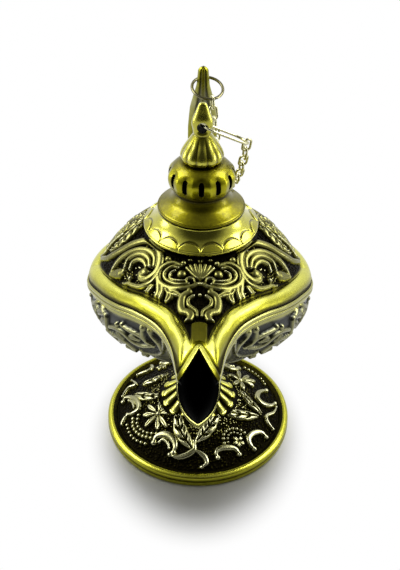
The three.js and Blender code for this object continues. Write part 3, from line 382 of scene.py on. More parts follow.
# Relief: raised work drawn as strokes on a surface
class Relief:
    """Heights above the ground of a grid of surface points. Strokes are drawn in the surface's chart."""

    def __init__(self, points, chart):
        self.points = points.reshape(-1, 3)
        self.shape = points.shape[:2]
        self.chart = chart
        self.height = np.zeros(len(self.points))

    def near(self, line, reach):
        """Points within reach of a line: their numbers, their distances and the line's share beside them."""
        low, high = line.min(axis=0) - reach, line.max(axis=0) + reach
        ids = np.flatnonzero(np.all((self.points > low) & (self.points < high), axis=1))
        gaps = np.linalg.norm(self.points[ids, None] - line[None], axis=2)
        best = gaps.argmin(axis=1) if len(ids) else ids
        return ids, gaps[np.arange(len(ids)), best], best / max(len(line) - 1, 1)

    def lay(self, ids, lift):
        self.height[ids] = np.maximum(self.height[ids], lift)

    def line_of(self, stroke):
        points = self.chart(curve_through(stroke, STROKE_SAMPLES * len(stroke)))
        return even(points, max(int(along(points)[-1] / STROKE_STEP), STROKE_LEAST))

    def ridge(self, stroke, width, height, ends=(0.5, 0.5)):
        """A round ridge along a stroke, its width given as shares at the two ends."""
        ids, gap, share = self.near(self.line_of(stroke), width)
        first, last = smooth(share, 0, RIDGE_TAPER), smooth(share, 1 - RIDGE_TAPER, 1)
        half = width * mix(ends[0], 1, first) * mix(1, ends[1], last)
        back = crown(gap / half, RIDGE_SQUARENESS)
        self.lay(ids, height * back * np.minimum(1, RIDGE_LEAST + half / width))

    def bead(self, centre, radius, height):
        ids, gap, _ = self.near(self.chart(np.array([centre], float)), radius)
        self.lay(ids, height * crown(gap / radius))

    def spread(self, stroke, width, fullest):
        """Points beside a stroke that widens and narrows again: as near gives them, and half widths."""
        ids, gap, share = self.near(self.line_of(stroke), width)
        bend = math.log(0.5) / math.log(fullest)
        half = width * np.sin(math.pi * np.clip(share, *LEAF_ENDS) ** bend) ** LEAF_ROUND
        return ids, gap, share, np.maximum(half, TINY)

    def petal(self, stroke, width, height, fullest=0.6, crease=0.35):
        """A smooth round petal with a crease along its middle."""
        ids, gap, _, half = self.spread(stroke, width, fullest)
        self.lay(ids, height * crown(gap / half) * (1 - crease * bump_at(gap, 0, LEAF_CREASE)))

    def leaf(self, stroke, width, height, lobes):
        """A full leaf, parted by a groove along its middle and slanting grooves to its lobed edge."""
        ids, gap, share, half = self.spread(stroke, width, LEAF_FULLEST)
        place = share * lobes - LEAF_SLANT * gap / width
        beside = np.abs(place - np.round(place))
        half = half * mix(1 - LEAF_LOBE, 1, smooth(beside, 0, LEAF_NOTCH))
        groove = np.maximum(bump_at(gap, 0, LEAF_CREASE), bump_at(beside, 0, LEAF_VEIN))
        groove *= 1 - smooth(gap / half, *LEAF_RIM)
        self.lay(ids, height * crown(gap / half, RIDGE_SQUARENESS) * (1 - LEAF_DEPTH * groove))

    def dots(self, pitch, radius, height):
        """Fine dots on the ground, one to each cell of a loose lattice."""
        cells = np.floor(self.points / pitch).astype(int)
        low = cells.min(axis=0) - 1
        jitter = 0.5 + DOT_SCATTER * (rng.random((*(cells.max(axis=0) - low + 2), 3)) - 0.5)
        gap = np.full(len(self.points), np.inf)
        for step in np.ndindex(3, 3, 3):
            cell = cells + np.array(step) - 1
            centre = (cell + jitter[tuple((cell - low).T)]) * pitch
            gap = np.minimum(gap, np.linalg.norm(self.points - centre, axis=1))
        self.lay(np.arange(len(self.points)), height * crown(gap / radius))

    def grid(self):
        return self.height.reshape(self.shape)


STROKE_STEP = 0.15
STROKE_SAMPLES = 12
STROKE_LEAST = 4
RIDGE_SQUARENESS = 3
RIDGE_TAPER = 0.4
RIDGE_LEAST = 0.4
DOT_SCATTER = 0.7
LEAF_CREASE = 0.2
LEAF_VEIN = 0.14
LEAF_DEPTH = 0.7
LEAF_FULLEST = 0.45
LEAF_SLANT = 0.7
LEAF_LOBE = 0.1
LEAF_RIM = 0.45, 0.75
LEAF_NOTCH = 0.35
LEAF_ENDS = 0.001, 0.999
LEAF_ROUND = 0.8
EVEN_ENDS = (1, 1)
BEAD_SHARE = 1.1
PLAN_STEP = 2
PLAN_NEAREST = 4
PLAN_SOFTNESS = 1e-4


# Shader nodes
class Shading:
    """The nodes of a material or of the world."""

    def __init__(self, owner):
        owner.use_nodes = True
        self.nodes = owner.node_tree.nodes
        self.links = owner.node_tree.links

    def put(self, node, inputs):
        """Sets a node's inputs: another node's output is linked, and anything else is a constant."""
        for key, value in inputs.items():
            if isinstance(value, bpy.types.NodeSocket):
                self.links.new(value, node.inputs[key])
            else:
                node.inputs[key].default_value = value
        return node

    def add(self, kind, inputs=()):
        return self.put(self.nodes.new("ShaderNode" + kind), dict(inputs))

    def attribute(self, key):
        node = self.add("Attribute")
        node.attribute_name = key
        return node.outputs["Fac"]

    def combined(self, kind, a, b):
        node = self.add("Math", {0: a, 1: b})
        node.operation = kind
        return node.outputs["Value"]

    def levels(self, value, low, high, kind="SMOOTHSTEP"):
        """A level that follows a value from one pair of value and level to another."""
        ends = {"From Min": low[0], "To Min": low[1], "From Max": high[0], "To Max": high[1]}
        node = self.add("MapRange", {"Value": value, **ends})
        node.interpolation_type = kind
        return node.outputs["Result"]

    def blended(self, share, first, second):
        return self.add("MixShader", {"Fac": share, 1: first, 2: second}).outputs["Shader"]

    def seen_share(self):
        """1 for rays from the camera, from gloss and through glass, and 0 for the rest."""
        rays = self.add("LightPath").outputs
        reflected = self.combined("MAXIMUM", rays["Is Glossy Ray"], rays["Is Transmission Ray"])
        return self.combined("MAXIMUM", rays["Is Camera Ray"], reflected)


# Finishes: metal with dark recesses, rubbed tops and painted highlight and shade, told apart by the "tone" of
# each point.
# Unevenness is given as scale, detail and strength.
SHADE_STOPS = (0.06, 0.45, 0.75, 1)
PATCHES = (160, 4, 0.175)
SPECKS = (1500, 6, 0.2)
CAST_GRAIN = (2600, 5, 0.125)
GRAIN_DEPTH = 0.12
LACQUER_ROUGHNESS = 0.14


def make_metal(name, shades, rough, gilt=None, lacquer=0):
    """Antique metal: its deep, dull, bright and rubbed colours follow the points' tone, which also holds
    painted light.

    Where gilt colours are given as well, the points' "gilt" mixes them in. Lacquer is a clear coat."""
    material = bpy.data.materials.new(name)
    tree = Shading(material)
    place = tree.add("TexCoord").outputs["Object"]

    def noise(scale, detail):
        return tree.add("TexNoise", {"Vector": place, "Scale": scale, "Detail": detail}).outputs["Fac"]

    # The tone carries patina, rubbed tops and painted highlight and shade; noise adds random unevenness to it
    worn_and_lit = tree.attribute("tone")
    for scale, detail, strength in (PATCHES, SPECKS):
        uneven = tree.combined("SUBTRACT", noise(scale, detail), 0.5)
        worn_and_lit = tree.combined("ADD", worn_and_lit, tree.combined("MULTIPLY", uneven, strength))

    def shaded(colours):
        ramp = tree.add("ValToRGB", {"Fac": worn_and_lit})
        stops = ramp.color_ramp.elements
        for position in SHADE_STOPS[1:-1]:
            stops.new(position)
        for stop, position, tint in zip(stops, SHADE_STOPS, colours):
            stop.position = position
            stop.color = (*tint, 1)
        return ramp.outputs["Color"]

    colour = shaded(shades)
    if gilt:
        both = {"Fac": tree.attribute("gilt"), "Color1": colour, "Color2": shaded(gilt)}
        colour = tree.add("MixRGB", both).outputs["Color"]
    scale, detail, strength = CAST_GRAIN
    grain = {"Height": noise(scale, detail), "Strength": strength, "Distance": GRAIN_DEPTH * MM}
    tree.put(tree.nodes["Principled BSDF"], {
        "Base Color": colour,
        "Metallic": 1,
        "Roughness": tree.levels(worn_and_lit, (0, rough[0]), (1, rough[1]), "LINEAR"),
        "Coat Weight": lacquer,
        "Coat Roughness": LACQUER_ROUGHNESS,
        "Normal": tree.add("Bump", grain).outputs["Normal"],
    })
    return material


RELIEF_GOLD = (0.0025, 0.002, 0.0005), (0.055, 0.05, 0.006), (0.18, 0.174, 0.05), (0.44, 0.434, 0.27)
BAND_GOLD = (0.012, 0.01, 0.001), (0.11, 0.103, 0.004), (0.38, 0.37, 0.03), (0.68, 0.675, 0.12)
SMOOTH_GOLD = (0.02, 0.016, 0.001), (0.12, 0.107, 0.002), (0.34, 0.32, 0.006), (0.58, 0.56, 0.07)
PALE_GOLD = (0.02, 0.018, 0.003), (0.14, 0.134, 0.025), (0.36, 0.352, 0.1), (0.58, 0.57, 0.27)
GREY = (0.009, 0.0095, 0.009), (0.055, 0.058, 0.053), (0.2, 0.2, 0.16), (0.42, 0.42, 0.33)
WIRE = (0.04, 0.036, 0.014), (0.17, 0.158, 0.08), (0.54, 0.52, 0.3), (0.7, 0.69, 0.5)
PLAIN_STEEL = (0.1, 0.1, 0.1), (0.3, 0.3, 0.29), (0.5, 0.5, 0.48), (0.6, 0.6, 0.58)
PLAIN_BRASS = (0.05, 0.04, 0.01), (0.24, 0.2, 0.045), (0.45, 0.39, 0.1), (0.55, 0.48, 0.14)
SOOT_BLACK = (0.003, 0.003, 0.001), (0.005, 0.004, 0.001), (0.008, 0.007, 0.001), (0.012, 0.01, 0.002)
BRASS = make_metal("antique_brass", RELIEF_GOLD, (0.55, 0.2), gilt=BAND_GOLD)
POLISHED = make_metal("polished_brass", SMOOTH_GOLD, (0.36, 0.2), lacquer=0.8)
LID_METAL = make_metal("lid_brass", SMOOTH_GOLD, (0.42, 0.26), lacquer=0.15)
BOWL_METAL = make_metal("aged_bowl", GREY, (0.4, 0.2), gilt=PALE_GOLD)
CHAIN_METAL = make_metal("chain_wire", WIRE, (0.36, 0.18))
STEEL = make_metal("screw_steel", PLAIN_STEEL, (0.45, 0.28))
CUP_METAL = make_metal("cup_brass", PLAIN_BRASS, (0.45, 0.28))
SOOT = make_metal("sooted_brass", SOOT_BLACK, (0.7, 0.6))


# Upper shell: dome with scrolls and leaves on a dotted ground, and the rolled band along its edge
SEAM_COLUMNS = 380
LIP_COLUMNS = 90
DOME_STEPS = 110
BAND_STEPS = 64
FOLD_REACH = 24
SEAM_LINE = 260
LIP_LINE = 120
INNER_STEP = 9
TONES = (-0.2, 1)
INSIDE_TONE = 0.05
DOME_GROUND = -0.4
DOME_HEIGHT = 1.1
DOME_DOTS = 0.32
DOT_PITCH = 0.66
DOT_RADIUS = 0.35
RIDGE = 0.55
SPRAY_WIDTH = 1.9
SEAM_LEDGE = 0.45
MOUTH_LEDGE = 2.2
MOUTH_REACH = 35, 44
LIP_FLANGE = 0.5, 0.4
LIP_GROOVE = 1.25, 0.22
LIP_DEPTH = 0.25
LIP_INSIDE = 1.1, 1.35
LIP_ROLL = 1, 2.6
COLLAR_COVER = 13.2, 14
TAB_START = 29.3
TAB_CLEAR = -0.2, 0.3
TAB_HALF = 1.75
TAB_ROUND = 0.2
TAB_EDGE = 0.5
TAB_HEIGHT = 0.85
TAB_TONE = 0.33
BAND_SPARE = 0.2
BAND_ROUND = 0.7
BAND_INSIDE = 0.96, 1.14
RELIEF_INSIDE = 1.02, 1.22
BAND_TONE = 0.56
BAND_SHEEN = 0.38
BAND_SHEEN_EDGE = 0, 0.6
LEDGE_EDGE = 0.5, 1.5
LIP_GLEAM = 0.2
LIP_SHADE = 0.6
GLINT = 1.15, 0.1
DOT_GLINT = 0.2
GLINT_SIDE = 7, 10
GLINT_FRONT = 5, 9
GLINT_BACK = 0, 6
CORNER_LEVEL = 1.05
BAND_SIDE_SHARE = 0.7
BAND_NARROWS = math.radians(40), math.radians(75)
VOLUTES = [
    (1.1, [(23.6, 0.6), (21.8, -2.3), (18.3, -4.3), (15.1, -5.1), (12, -6.2), (10.1, -8.1), (9.1, -10.6),
           (9, -13.3), (9.9, -15.2), (11.8, -15.7), (13.2, -14.7), (13.3, -13.6)]),
    (0.85, [(20.9, -7.4), (19.8, -6.7), (18.2, -6.5), (15.9, -7), (13.5, -7.9), (11.2, -9.7), (10.2, -11.6),
            (10.2, -13.4)]),
    (0.75, [(17.1, -9.7), (16.4, -8.5), (15, -8.5), (13.1, -9.4), (11.6, -11.2), (11.2, -13.1)]),
    (0.7, [(15.8, -11), (15.3, -10), (13.9, -10.2), (12.6, -11.5), (12, -12.9)]),
    (0.75, [(17.4, -12.6), (16.3, -13.2), (14.8, -14.9), (12.9, -16.5), (10.8, -17), (9.2, -15.9)]),
    (1.4, [(17.6, -10), (18.7, -9.2), (20.2, -7.8)]),
]
VOLUTE_ENDS = (0.7, 0.75)
VOLUTE_BEADS = [(12.6, -13.9, 1.5), (18.4, -9.5, 1.5), (17.3, -12.6, 0.95), (15.7, -12.9, 0.8)]
SCROLLS = [
    (0.75, [(4.3, -14.7), (5.9, -13.9), (7.4, -14), (8.7, -14.7), (9.2, -15.9), (8.9, -17.5), (7.7, -18.9),
            (6, -20), (3.9, -20.6), (1.8, -20.4), (0.6, -19.8)]),
    (0.55, [(4.9, -15.3), (6, -14.8), (7.1, -15.2), (7.9, -16.1), (7.5, -17.4), (6.2, -18.6), (4.6, -19.5),
            (2.5, -19.7)]),
    (0.45, [(5.5, -15.9), (6.4, -16.3), (6.6, -17.2), (5.9, -18), (4.2, -18.7), (2.9, -18.9)]),
    (0.4, [(2.7, -19.5), (3, -18.6), (2.3, -18.2), (1.4, -18.5), (1.2, -19.3)]),
    (0.75, [(9.3, -16.7), (9.1, -18.6), (9.1, -19.9), (9.9, -20.9), (10.9, -21)]),
    (0.6, [(8.3, -18.1), (8.1, -19.8), (8.5, -20.9), (8.9, -21.9)]),
    (1.05, [(2.3, -21.7), (3.6, -22.6), (4, -24.5), (3.6, -26.2), (2.4, -26.9), (1.8, -27.6), (2.1, -28.7),
            (2.9, -29.9)]),
    (0.55, [(1.3, -22.8), (2.4, -23.7), (2.3, -25.1), (1.4, -26), (0.6, -26.9), (0.5, -28)]),
]
SCROLL_ENDS = (0.8, 0.75)
SCROLL_SHARE = 0.95
SCROLL_BEADS = [
    (4.1, -16.9, 1.2), (2.2, -13.4, 0.75), (3.7, -14.3, 0.75), (7.2, -12.7, 0.95), (2.4, -21.3, 0.5),
    (0, -22.7, 0.55), (0, -19.8, 0.6),
]
SIDE_LEAVES = [
    (1.1, [(7.6, -18.9), (6.6, -20.6), (5.2, -21.6), (3.5, -23)]),
    (1.3, [(6.9, -20.3), (6.5, -21.8), (7.4, -23.1)]),
    (0.9, [(10, -17.6), (11.4, -18.5), (12.6, -19.8)]),
]
SIDE_LEAF_FULLEST = 0.45
PALMETTE_ENDS = (0.3, 0.9)
PALMETTE_SHARE = 0.85
PALMETTE_FOOT = (0, -19)
PALMETTE_TOPS = [(0, -15), (1.1, -15), (2.1, -15.2), (2.9, -15.6)]
PALMETTE_CREST = [(0, -15), (0, -13.4), (0, -11.6)]
CREST_WIDTH = 1
CREST_CREASE = 0.6
SPRAY_SHARE = 1.15
SPRAY_LEAF = [(12.4, 1.8), (15.4, 0), (18.4, -1.6), (21.4, -1.2)]
SPRAY_MIDDLE = [(12.8, 2.8), (17.6, 3.8), (23.2, 5)]
SPRAY_TENDRIL = [(18.2, 1.4), (20.8, 2), (23, 1.6), (23.9, 2.6)]
TENDRIL_ENDS = (0.6, 1)
TENDRIL_BEAD = RIDGE + 0.25
SPRAY_LOBES = 6
MIDDLE_LOBES = 7
BACK_LOBES = 5
BACK_FOLD = math.radians(-12)
BACK_LEAVES = [
    (1.3, [(0, 13.6), (0, 18), (0, 23)]),
    (1.3, [(13.4, 19.1), (10.9, 20.6), (8.4, 21.2)]),
    (1.2, [(7.8, 22.3), (5.2, 22.7), (2.4, 22)]),
]


def side_and_back(stroke):
    """A stroke of the dome's right side, and its mirror image across a slanting line on the back."""
    x, y = np.asarray(stroke, float).T
    turn = 2 * BACK_FOLD - np.arctan2(-y, x)
    reach = np.hypot(x, y)
    return stroke, np.stack([reach * np.cos(turn), -reach * np.sin(turn)], axis=1)


def in_plan(points):
    """A chart of plan positions: the surface's height comes from the nearest of its points."""
    flat = points[::PLAN_STEP, ::PLAN_STEP].reshape(-1, 3)

    def place(stroke):
        gaps = ((stroke[:, None, :2] - flat[None, :, :2]) ** 2).sum(axis=2)
        near = np.argpartition(gaps, PLAN_NEAREST, axis=1)[:, :PLAN_NEAREST]
        weight = 1 / (np.take_along_axis(gaps, near, axis=1) + PLAN_SOFTNESS)
        return np.column_stack([stroke, (flat[near, 2] * weight).sum(axis=1) / weight.sum(axis=1)])

    return place


def dome_relief(base):
    relief = Relief(base, in_plan(base))
    for width, stroke in VOLUTES:
        for line in side_and_back(stroke):
            relief.ridge(line, width, DOME_HEIGHT, VOLUTE_ENDS)
    for *centre, radius in VOLUTE_BEADS:
        for line in side_and_back([centre]):
            relief.bead(line[0], radius, BEAD_SHARE * DOME_HEIGHT)
    for width, stroke in SCROLLS:
        relief.ridge(stroke, width, SCROLL_SHARE * DOME_HEIGHT, SCROLL_ENDS)
    for *centre, radius in SCROLL_BEADS:
        relief.bead(centre, radius, DOME_HEIGHT)
    for width, stroke in SIDE_LEAVES:
        relief.petal(stroke, width, DOME_HEIGHT, fullest=SIDE_LEAF_FULLEST)
    for top in PALMETTE_TOPS:
        relief.ridge(between(PALMETTE_FOOT, top, 0.5), RIDGE, PALMETTE_SHARE * DOME_HEIGHT, PALMETTE_ENDS)
    relief.petal(PALMETTE_CREST, CREST_WIDTH, DOME_HEIGHT, crease=CREST_CREASE)
    for line in side_and_back(SPRAY_LEAF):
        relief.leaf(line, SPRAY_WIDTH, SPRAY_SHARE * DOME_HEIGHT, SPRAY_LOBES)
    for line in side_and_back(SPRAY_TENDRIL):
        relief.ridge(line, RIDGE, DOME_HEIGHT, TENDRIL_ENDS)
        relief.bead(line[-1], TENDRIL_BEAD, DOME_HEIGHT)
    relief.leaf(SPRAY_MIDDLE, SPRAY_WIDTH, DOME_HEIGHT, MIDDLE_LOBES)
    for width, stroke in BACK_LEAVES:
        relief.leaf(stroke, width, DOME_HEIGHT, BACK_LOBES)
    relief.dots(DOT_PITCH, DOT_RADIUS, DOME_DOTS)
    return relief.grid()


def gap_to(points, line):
    """Distance of each point of a grid from a line, and the place on the line."""
    best = np.full(points.shape[:2], np.inf)
    place = np.zeros(points.shape[:2], int)
    for k, p in enumerate(line):
        gap = np.linalg.norm(points - p, axis=2)
        nearer = gap < best
        best[nearer] = gap[nearer]
        place[nearer] = k
    return best, place


def eased_fold(columns, row, reach):
    """Columns whose fold at one row is softened over a number of rows each way."""
    eased = columns.copy()
    low, high = row - reach, row + reach
    for _ in range(2 * reach):
        beside = (eased[:, low - 1 : high - 1] + eased[:, low + 1 : high + 1]) / 2
        eased[:, low:high] = (eased[:, low:high] + beside) / 2
    return eased


def edge_columns(seam, lip):
    """Edge points of half a shell: along the seam, then closer together along the lip."""
    return np.vstack([even(seam, SEAM_COLUMNS), even(np.vstack([seam[-1:], lip]), LIP_COLUMNS + 1)[1:]])


def shell_piece(node, outer, inner, material, tone, gilt):
    """A body shell from whole outer and inner columns, with half of its tone and gilt. The inside is dark."""
    tone = np.hstack([mirrored_values(tone), np.full(inner.shape[:2], INSIDE_TONE)])
    gilt = np.hstack([mirrored_values(gilt), np.zeros(inner.shape[:2])])
    columns = np.concatenate([outer, inner], axis=1)
    smooth_piece(node + "_cast", columns, "lamp", material, node, tone, gilt)


def make_upper_shell():
    seam = seam_half()
    corner = seam[-1]
    notch = np.array([0, -LIP_NOTCH[0], SEAM_HEIGHT + LIP_NOTCH[1]])
    lip = lip_half(corner, (corner + notch) / 2, notch)
    base = upper_columns(edge_columns(seam, lip), DOME_STEPS, BAND_STEPS)
    base = eased_fold(base, DOME_STEPS, FOLD_REACH)
    aside, ahead = np.abs(base[..., 0]), -base[..., 1]
    # The band lies beside the seam and the lip, and the dome inside it
    line = even(seam, SEAM_LINE)
    gap, place = gap_to(base, line)
    turn = angle_from_front(line)
    width = np.hypot(BAND_WIDTH, band_rise(turn)) + BAND_SPARE
    width = (width * mix(1, BAND_SIDE_SHARE, smooth(turn, *BAND_NARROWS)))[place]
    lip_gap, _ = gap_to(base, even(lip, LIP_LINE))
    lip_line, lip_hollow = bump_at(lip_gap, *LIP_FLANGE), bump_at(lip_gap, *LIP_GROOVE)
    from_lip = lip_gap / LIP_GROOVE[0]
    ledge = SEAM_LEDGE * mix(1, MOUTH_LEDGE, smooth(ahead, *MOUTH_REACH))
    across = np.clip((gap - ledge) / (width - ledge), 0, 1)
    roll = np.sin(math.pi * across) ** BAND_ROUND * np.sqrt(smooth(from_lip, *LIP_ROLL))
    on_dome = smooth(gap / width, *BAND_INSIDE) * smooth(from_lip, *LIP_INSIDE)
    # Ornament of the dome, and the plain tab that takes its place near the point of the band
    raised = dome_relief(base) * smooth(gap / width, *RELIEF_INSIDE)
    tab = smooth(ahead - TAB_START - TAB_ROUND * aside**2, 0, TAB_EDGE) * smooth(TAB_HALF - aside, *TAB_CLEAR)
    raised = mix(raised * (1 - smooth(ahead - TAB_START, *TAB_CLEAR)), TAB_HEIGHT, tab)
    ground = DOME_GROUND + raised * smooth(reach_of(base), *COLLAR_COVER)
    rise = BAND_BULGE * roll * (1 - on_dome) + ground * on_dome + LIP_DEPTH * (lip_line - lip_hollow)
    # Outside and inside of the cast wall, which thins out at the corners of the mouth
    whole = mirrored(base)
    normal = ring_normals(whole)
    normal *= np.sign((normal * whole).sum())
    outer = whole + normal * mirrored_values(rise)[..., None]
    from_corner = np.hypot(np.abs(whole[..., 0]) - corner[0], whole[..., 1] - corner[1])
    wall = mix(CORNER_WALL, wall_at(whole), smooth(from_corner, 0, CORNER_TAPER))
    normal[:, 0] *= (0, 0, 1)
    level = angle_from_front(whole[:, -1]) > angle_from_front(corner) * CORNER_LEVEL
    normal[level, -1, 2] = 0
    normal /= np.linalg.norm(normal, axis=2, keepdims=True)
    inside = whole - normal * wall[..., None]
    inner = inside[:, ::-INNER_STEP].copy()
    inner[:, -1] = inside[:, 0]
    # Tone: rubbed tops with painted highlight and shade about the relief, dark ground, painted glints on the
    # dots beside the ornament and behind it, a painted highlight towards the band's inner edge, a dark line
    # under the band, and a painted gleam and shade at the lip
    # Painted glints: the dots beside the ornament and on the back are lifted towards the top colour
    beside = smooth(aside, *GLINT_SIDE) * smooth(ahead, *GLINT_FRONT) + smooth(-ahead, *GLINT_BACK)
    glint = GLINT[0] * dot_glint(raised, DOT_GLINT, DOME_DOTS) * beside - GLINT[1]
    ornament = mix(np.maximum(wear_and_light_tone(raised, DOME_HEIGHT, DOME_WEAR_AND_LIGHT), glint), TAB_TONE, tab)
    # Painted highlight: the band is made brighter towards its inner edge
    band = BAND_TONE + BAND_SHEEN * smooth(across, *BAND_SHEEN_EDGE)
    band = mix(INSIDE_TONE, band, smooth(gap / ledge, *LEDGE_EDGE))
    # Painted gleam on the lip's flange line and painted shade in the groove beside it
    tone = mix(band, ornament, on_dome) + LIP_GLEAM * lip_line - LIP_SHADE * lip_hollow
    gilt = np.maximum(1 - on_dome, tab)
    shell_piece("upper_shell", outer, inner, BRASS, np.clip(tone, *TONES), gilt)


make_upper_shell()


# Lower bowl: grooved rim, leaf scrolls on a smooth dark panel, striped lobes above the stem
BOWL_WALL_STEPS = 130
BASE_STEPS = 5
BOWL_RELIEF = 0.85
BOWL_SUNK = 0.35
RIM_STEPS = 33
RIM_CURVE = [
    (0, 0), (0.26, -0.1), (0.4, -0.35), (0.4, -0.85), (0.16, -1.1), (0.4, -1.35), (0.4, -1.9), (0.16, -2.3),
    (-0.2, -2.6),
]
RIM_AT_MOUTH = 0.4
RIM_TONE = 0.74
RIM_LINE = 0.48 * RIM_STEPS, 2.5
RIM_LINE_DEPTH = 0.55
LEAF_GILT = 0.5
LIP_EDGE = 0.35
LIP_THINS = 44, 47
SPOUT_TURN = 15
PANEL_TURN = 53
PANEL_SIDE = SPOUT_TURN - 2, SPOUT_TURN + 3
PANEL_EDGE = 0.05
PANEL_RIDGES = [
    (0.7, [(65, 0.01), (61, 0.07), (57.5, 0.13), (58, 0.23), (53, 0.3)]),
    (0.75, [(54, 0.19), (47, 0.16), (41, 0.19), (36.5, 0.25), (30.5, 0.27), (22, 0.2)]),
    (0.65, [(42, 0.1), (37, 0.12), (32, 0.13), (28, 0.15), (25, 0.21)]),
    (0.65, [(28, 0.05), (28.3, 0.11), (27.3, 0.16), (23, 0.19)]),
    (0.65, [(23.5, 0.04), (22.3, 0.07), (20, 0.11), (18.3, 0.16), (18, 0.23)]),
    (0.7, [(52.5, 0.29), (46.5, 0.28), (41.5, 0.33), (39, 0.42), (42, 0.5), (48, 0.48)]),
    (0.6, [(50, 0.4), (54, 0.46), (60, 0.44), (63, 0.36), (60, 0.3)]),
    (0.55, [(33, 0.36), (31, 0.44), (33, 0.52), (38, 0.56)]),
]
PANEL_ENDS = (0.8, 0.6)
PANEL_BEADS = [
    (28, 0.045, 0.95), (23.4, 0.035, 0.85), (52.5, 0.29, 0.95), (46.7, 0.11, 0.8), (42.4, 0.09, 0.8),
    (48, 0.48, 0.8), (60, 0.3, 0.8), (38, 0.56, 0.7),
]
PANEL_LEAVES = [
    [(58, 0.14), (63, 0.2), (66, 0.3)],
    [(60, 0.08), (66, 0.1), (70, 0.17)],
    [(47, 0.17), (46, 0.23), (42, 0.27)],
    [(38, 0.2), (34, 0.19), (30, 0.21)],
    [(44, 0.33), (48, 0.36), (52, 0.42)],
]
PANEL_LEAF_WIDTH = 1.1
PANEL_LEAF_FULLEST = 0.4
PANEL_END = [(15, 0.03), (16, 0.13), (18.7, 0.28), (24.5, 0.37), (31.5, 0.4)]
PANEL_END_WIDTH = 0.5
PANEL_END_ENDS = (1, 0.6)
OUTLINE_SHARE = 0.8
PANEL_STRIPES = 9
STRIPE_SAMPLES = 40
LOBE_TURNS = range(30, 180, 32)
LOBE_PLACE = 0.8
LOBE_SIZE = (14, 0.13)
LOBE_STRIPES = np.linspace(-0.8, 0.8, 9)
LOBE_RIDGE = 0.45
LOBE_STRIPE = 0.3
LOBE_STRIPE_SHARE = 0.5
PANEL_STRIPE = 0.25
PANEL_STRIPE_SHARE = 0.35
STRIPE_ENDS = (0.8, 0.8)
OVAL_SAMPLES = 25
STRIPE_SIZE = (12, 0.1)


def bowl_columns(edge):
    """Rim, wall and base of the bowl, drawn out forwards into the spout."""
    reach = reach_of(edge)[:, None]
    lift = edge[:, 2:3] - (SEAM_HEIGHT - SEAT_GAP)
    scale = mix(1, RIM_AT_MOUTH, smooth(reach, BODY_RADIUS, SPOUT_REACH))
    rim = curve_through(RIM_CURVE, RIM_STEPS)
    part = np.linspace(0, 1, BOWL_WALL_STEPS + 1)[None, 1:]
    wall_r, wall_z = bowl_profile(part)
    wall_r = wall_r + (reach - BODY_RADIUS) * (1 - part) ** SPOUT_TAPER
    wall_z = wall_z + (lift + RIM_HEIGHT * (1 - scale)) * (1 - part) ** SPOUT_SWEEP
    base = np.linspace(BOWL_BASE[0], SCREW_BORE, BASE_STEPS)[1:] * np.ones_like(reach)
    radius = np.hstack([reach + rim[:, 0], wall_r, base])
    height = np.hstack([edge[:, 2:3] + rim[:, 1] * scale, wall_z, np.full_like(base, BOWL_BASE[1])])
    return in_plane(edge, radius, height)


def round_the_bowl(stroke):
    """A stroke of the front panel, then turned and mirrored copies of it on the panels behind."""
    angle, part = np.asarray(stroke, float).T
    ahead = 2 * (SPOUT_TURN + PANEL_TURN) - angle
    return [np.stack([turned, part], axis=1) for turned in (angle, ahead, angle + 2 * PANEL_TURN)]


def bowl_relief(wall):
    """Leaf scrolls on one half of the wall, in a chart of angle from the front and share of the way down."""
    angle = np.degrees(angle_from_front(wall[:, 0]))[::-1]
    count = wall.shape[1]

    def chart(stroke):
        row = np.interp(stroke[:, 0], angle, np.arange(len(angle))[::-1])
        col = np.clip(stroke[:, 1], 0, 1) * (count - 1)
        r, c = np.minimum(row.astype(int), len(angle) - 2), np.minimum(col.astype(int), count - 2)
        fr, fc = (row - r)[:, None], (col - c)[:, None]
        return mix(mix(wall[r, c], wall[r + 1, c], fr), mix(wall[r, c + 1], wall[r + 1, c + 1], fr), fc)

    relief = Relief(wall, chart)
    for width, stroke in PANEL_RIDGES:
        for line in round_the_bowl(stroke):
            relief.ridge(line, width, BOWL_RELIEF, PANEL_ENDS)
    for *centre, radius in PANEL_BEADS:
        for line in round_the_bowl([centre]):
            relief.bead(line[0], radius, BEAD_SHARE * BOWL_RELIEF)
    for stroke in PANEL_LEAVES:
        for line in round_the_bowl(stroke):
            relief.petal(line, PANEL_LEAF_WIDTH, BOWL_RELIEF, fullest=PANEL_LEAF_FULLEST)
    relief.ridge(PANEL_END, PANEL_END_WIDTH, OUTLINE_SHARE * BOWL_RELIEF, PANEL_END_ENDS)
    low, high = (curve_through(line, STRIPE_SAMPLES) for line in (PANEL_END[1:], PANEL_RIDGES[1][1][::-1]))
    for k in np.linspace(0, STRIPE_SAMPLES - 1, PANEL_STRIPES).astype(int):
        stripe = between(low[k], high[k], 0.5)
        relief.ridge(stripe, PANEL_STRIPE, PANEL_STRIPE_SHARE * BOWL_RELIEF, EVEN_ENDS)
    ring = np.linspace(0, 2 * math.pi, OVAL_SAMPLES)
    oval = np.column_stack([np.cos(ring), np.sin(ring)]) * LOBE_SIZE
    for turn in LOBE_TURNS:
        relief.ridge(oval + (turn, LOBE_PLACE), LOBE_RIDGE, OUTLINE_SHARE * BOWL_RELIEF, EVEN_ENDS)
        for share in LOBE_STRIPES:
            half = STRIPE_SIZE[1] * crown(share)
            stripe = [(turn + STRIPE_SIZE[0] * share, LOBE_PLACE + way * half) for way in (-1, 0, 1)]
            relief.ridge(stripe, LOBE_STRIPE, LOBE_STRIPE_SHARE * BOWL_RELIEF, STRIPE_ENDS)
    return relief.grid()


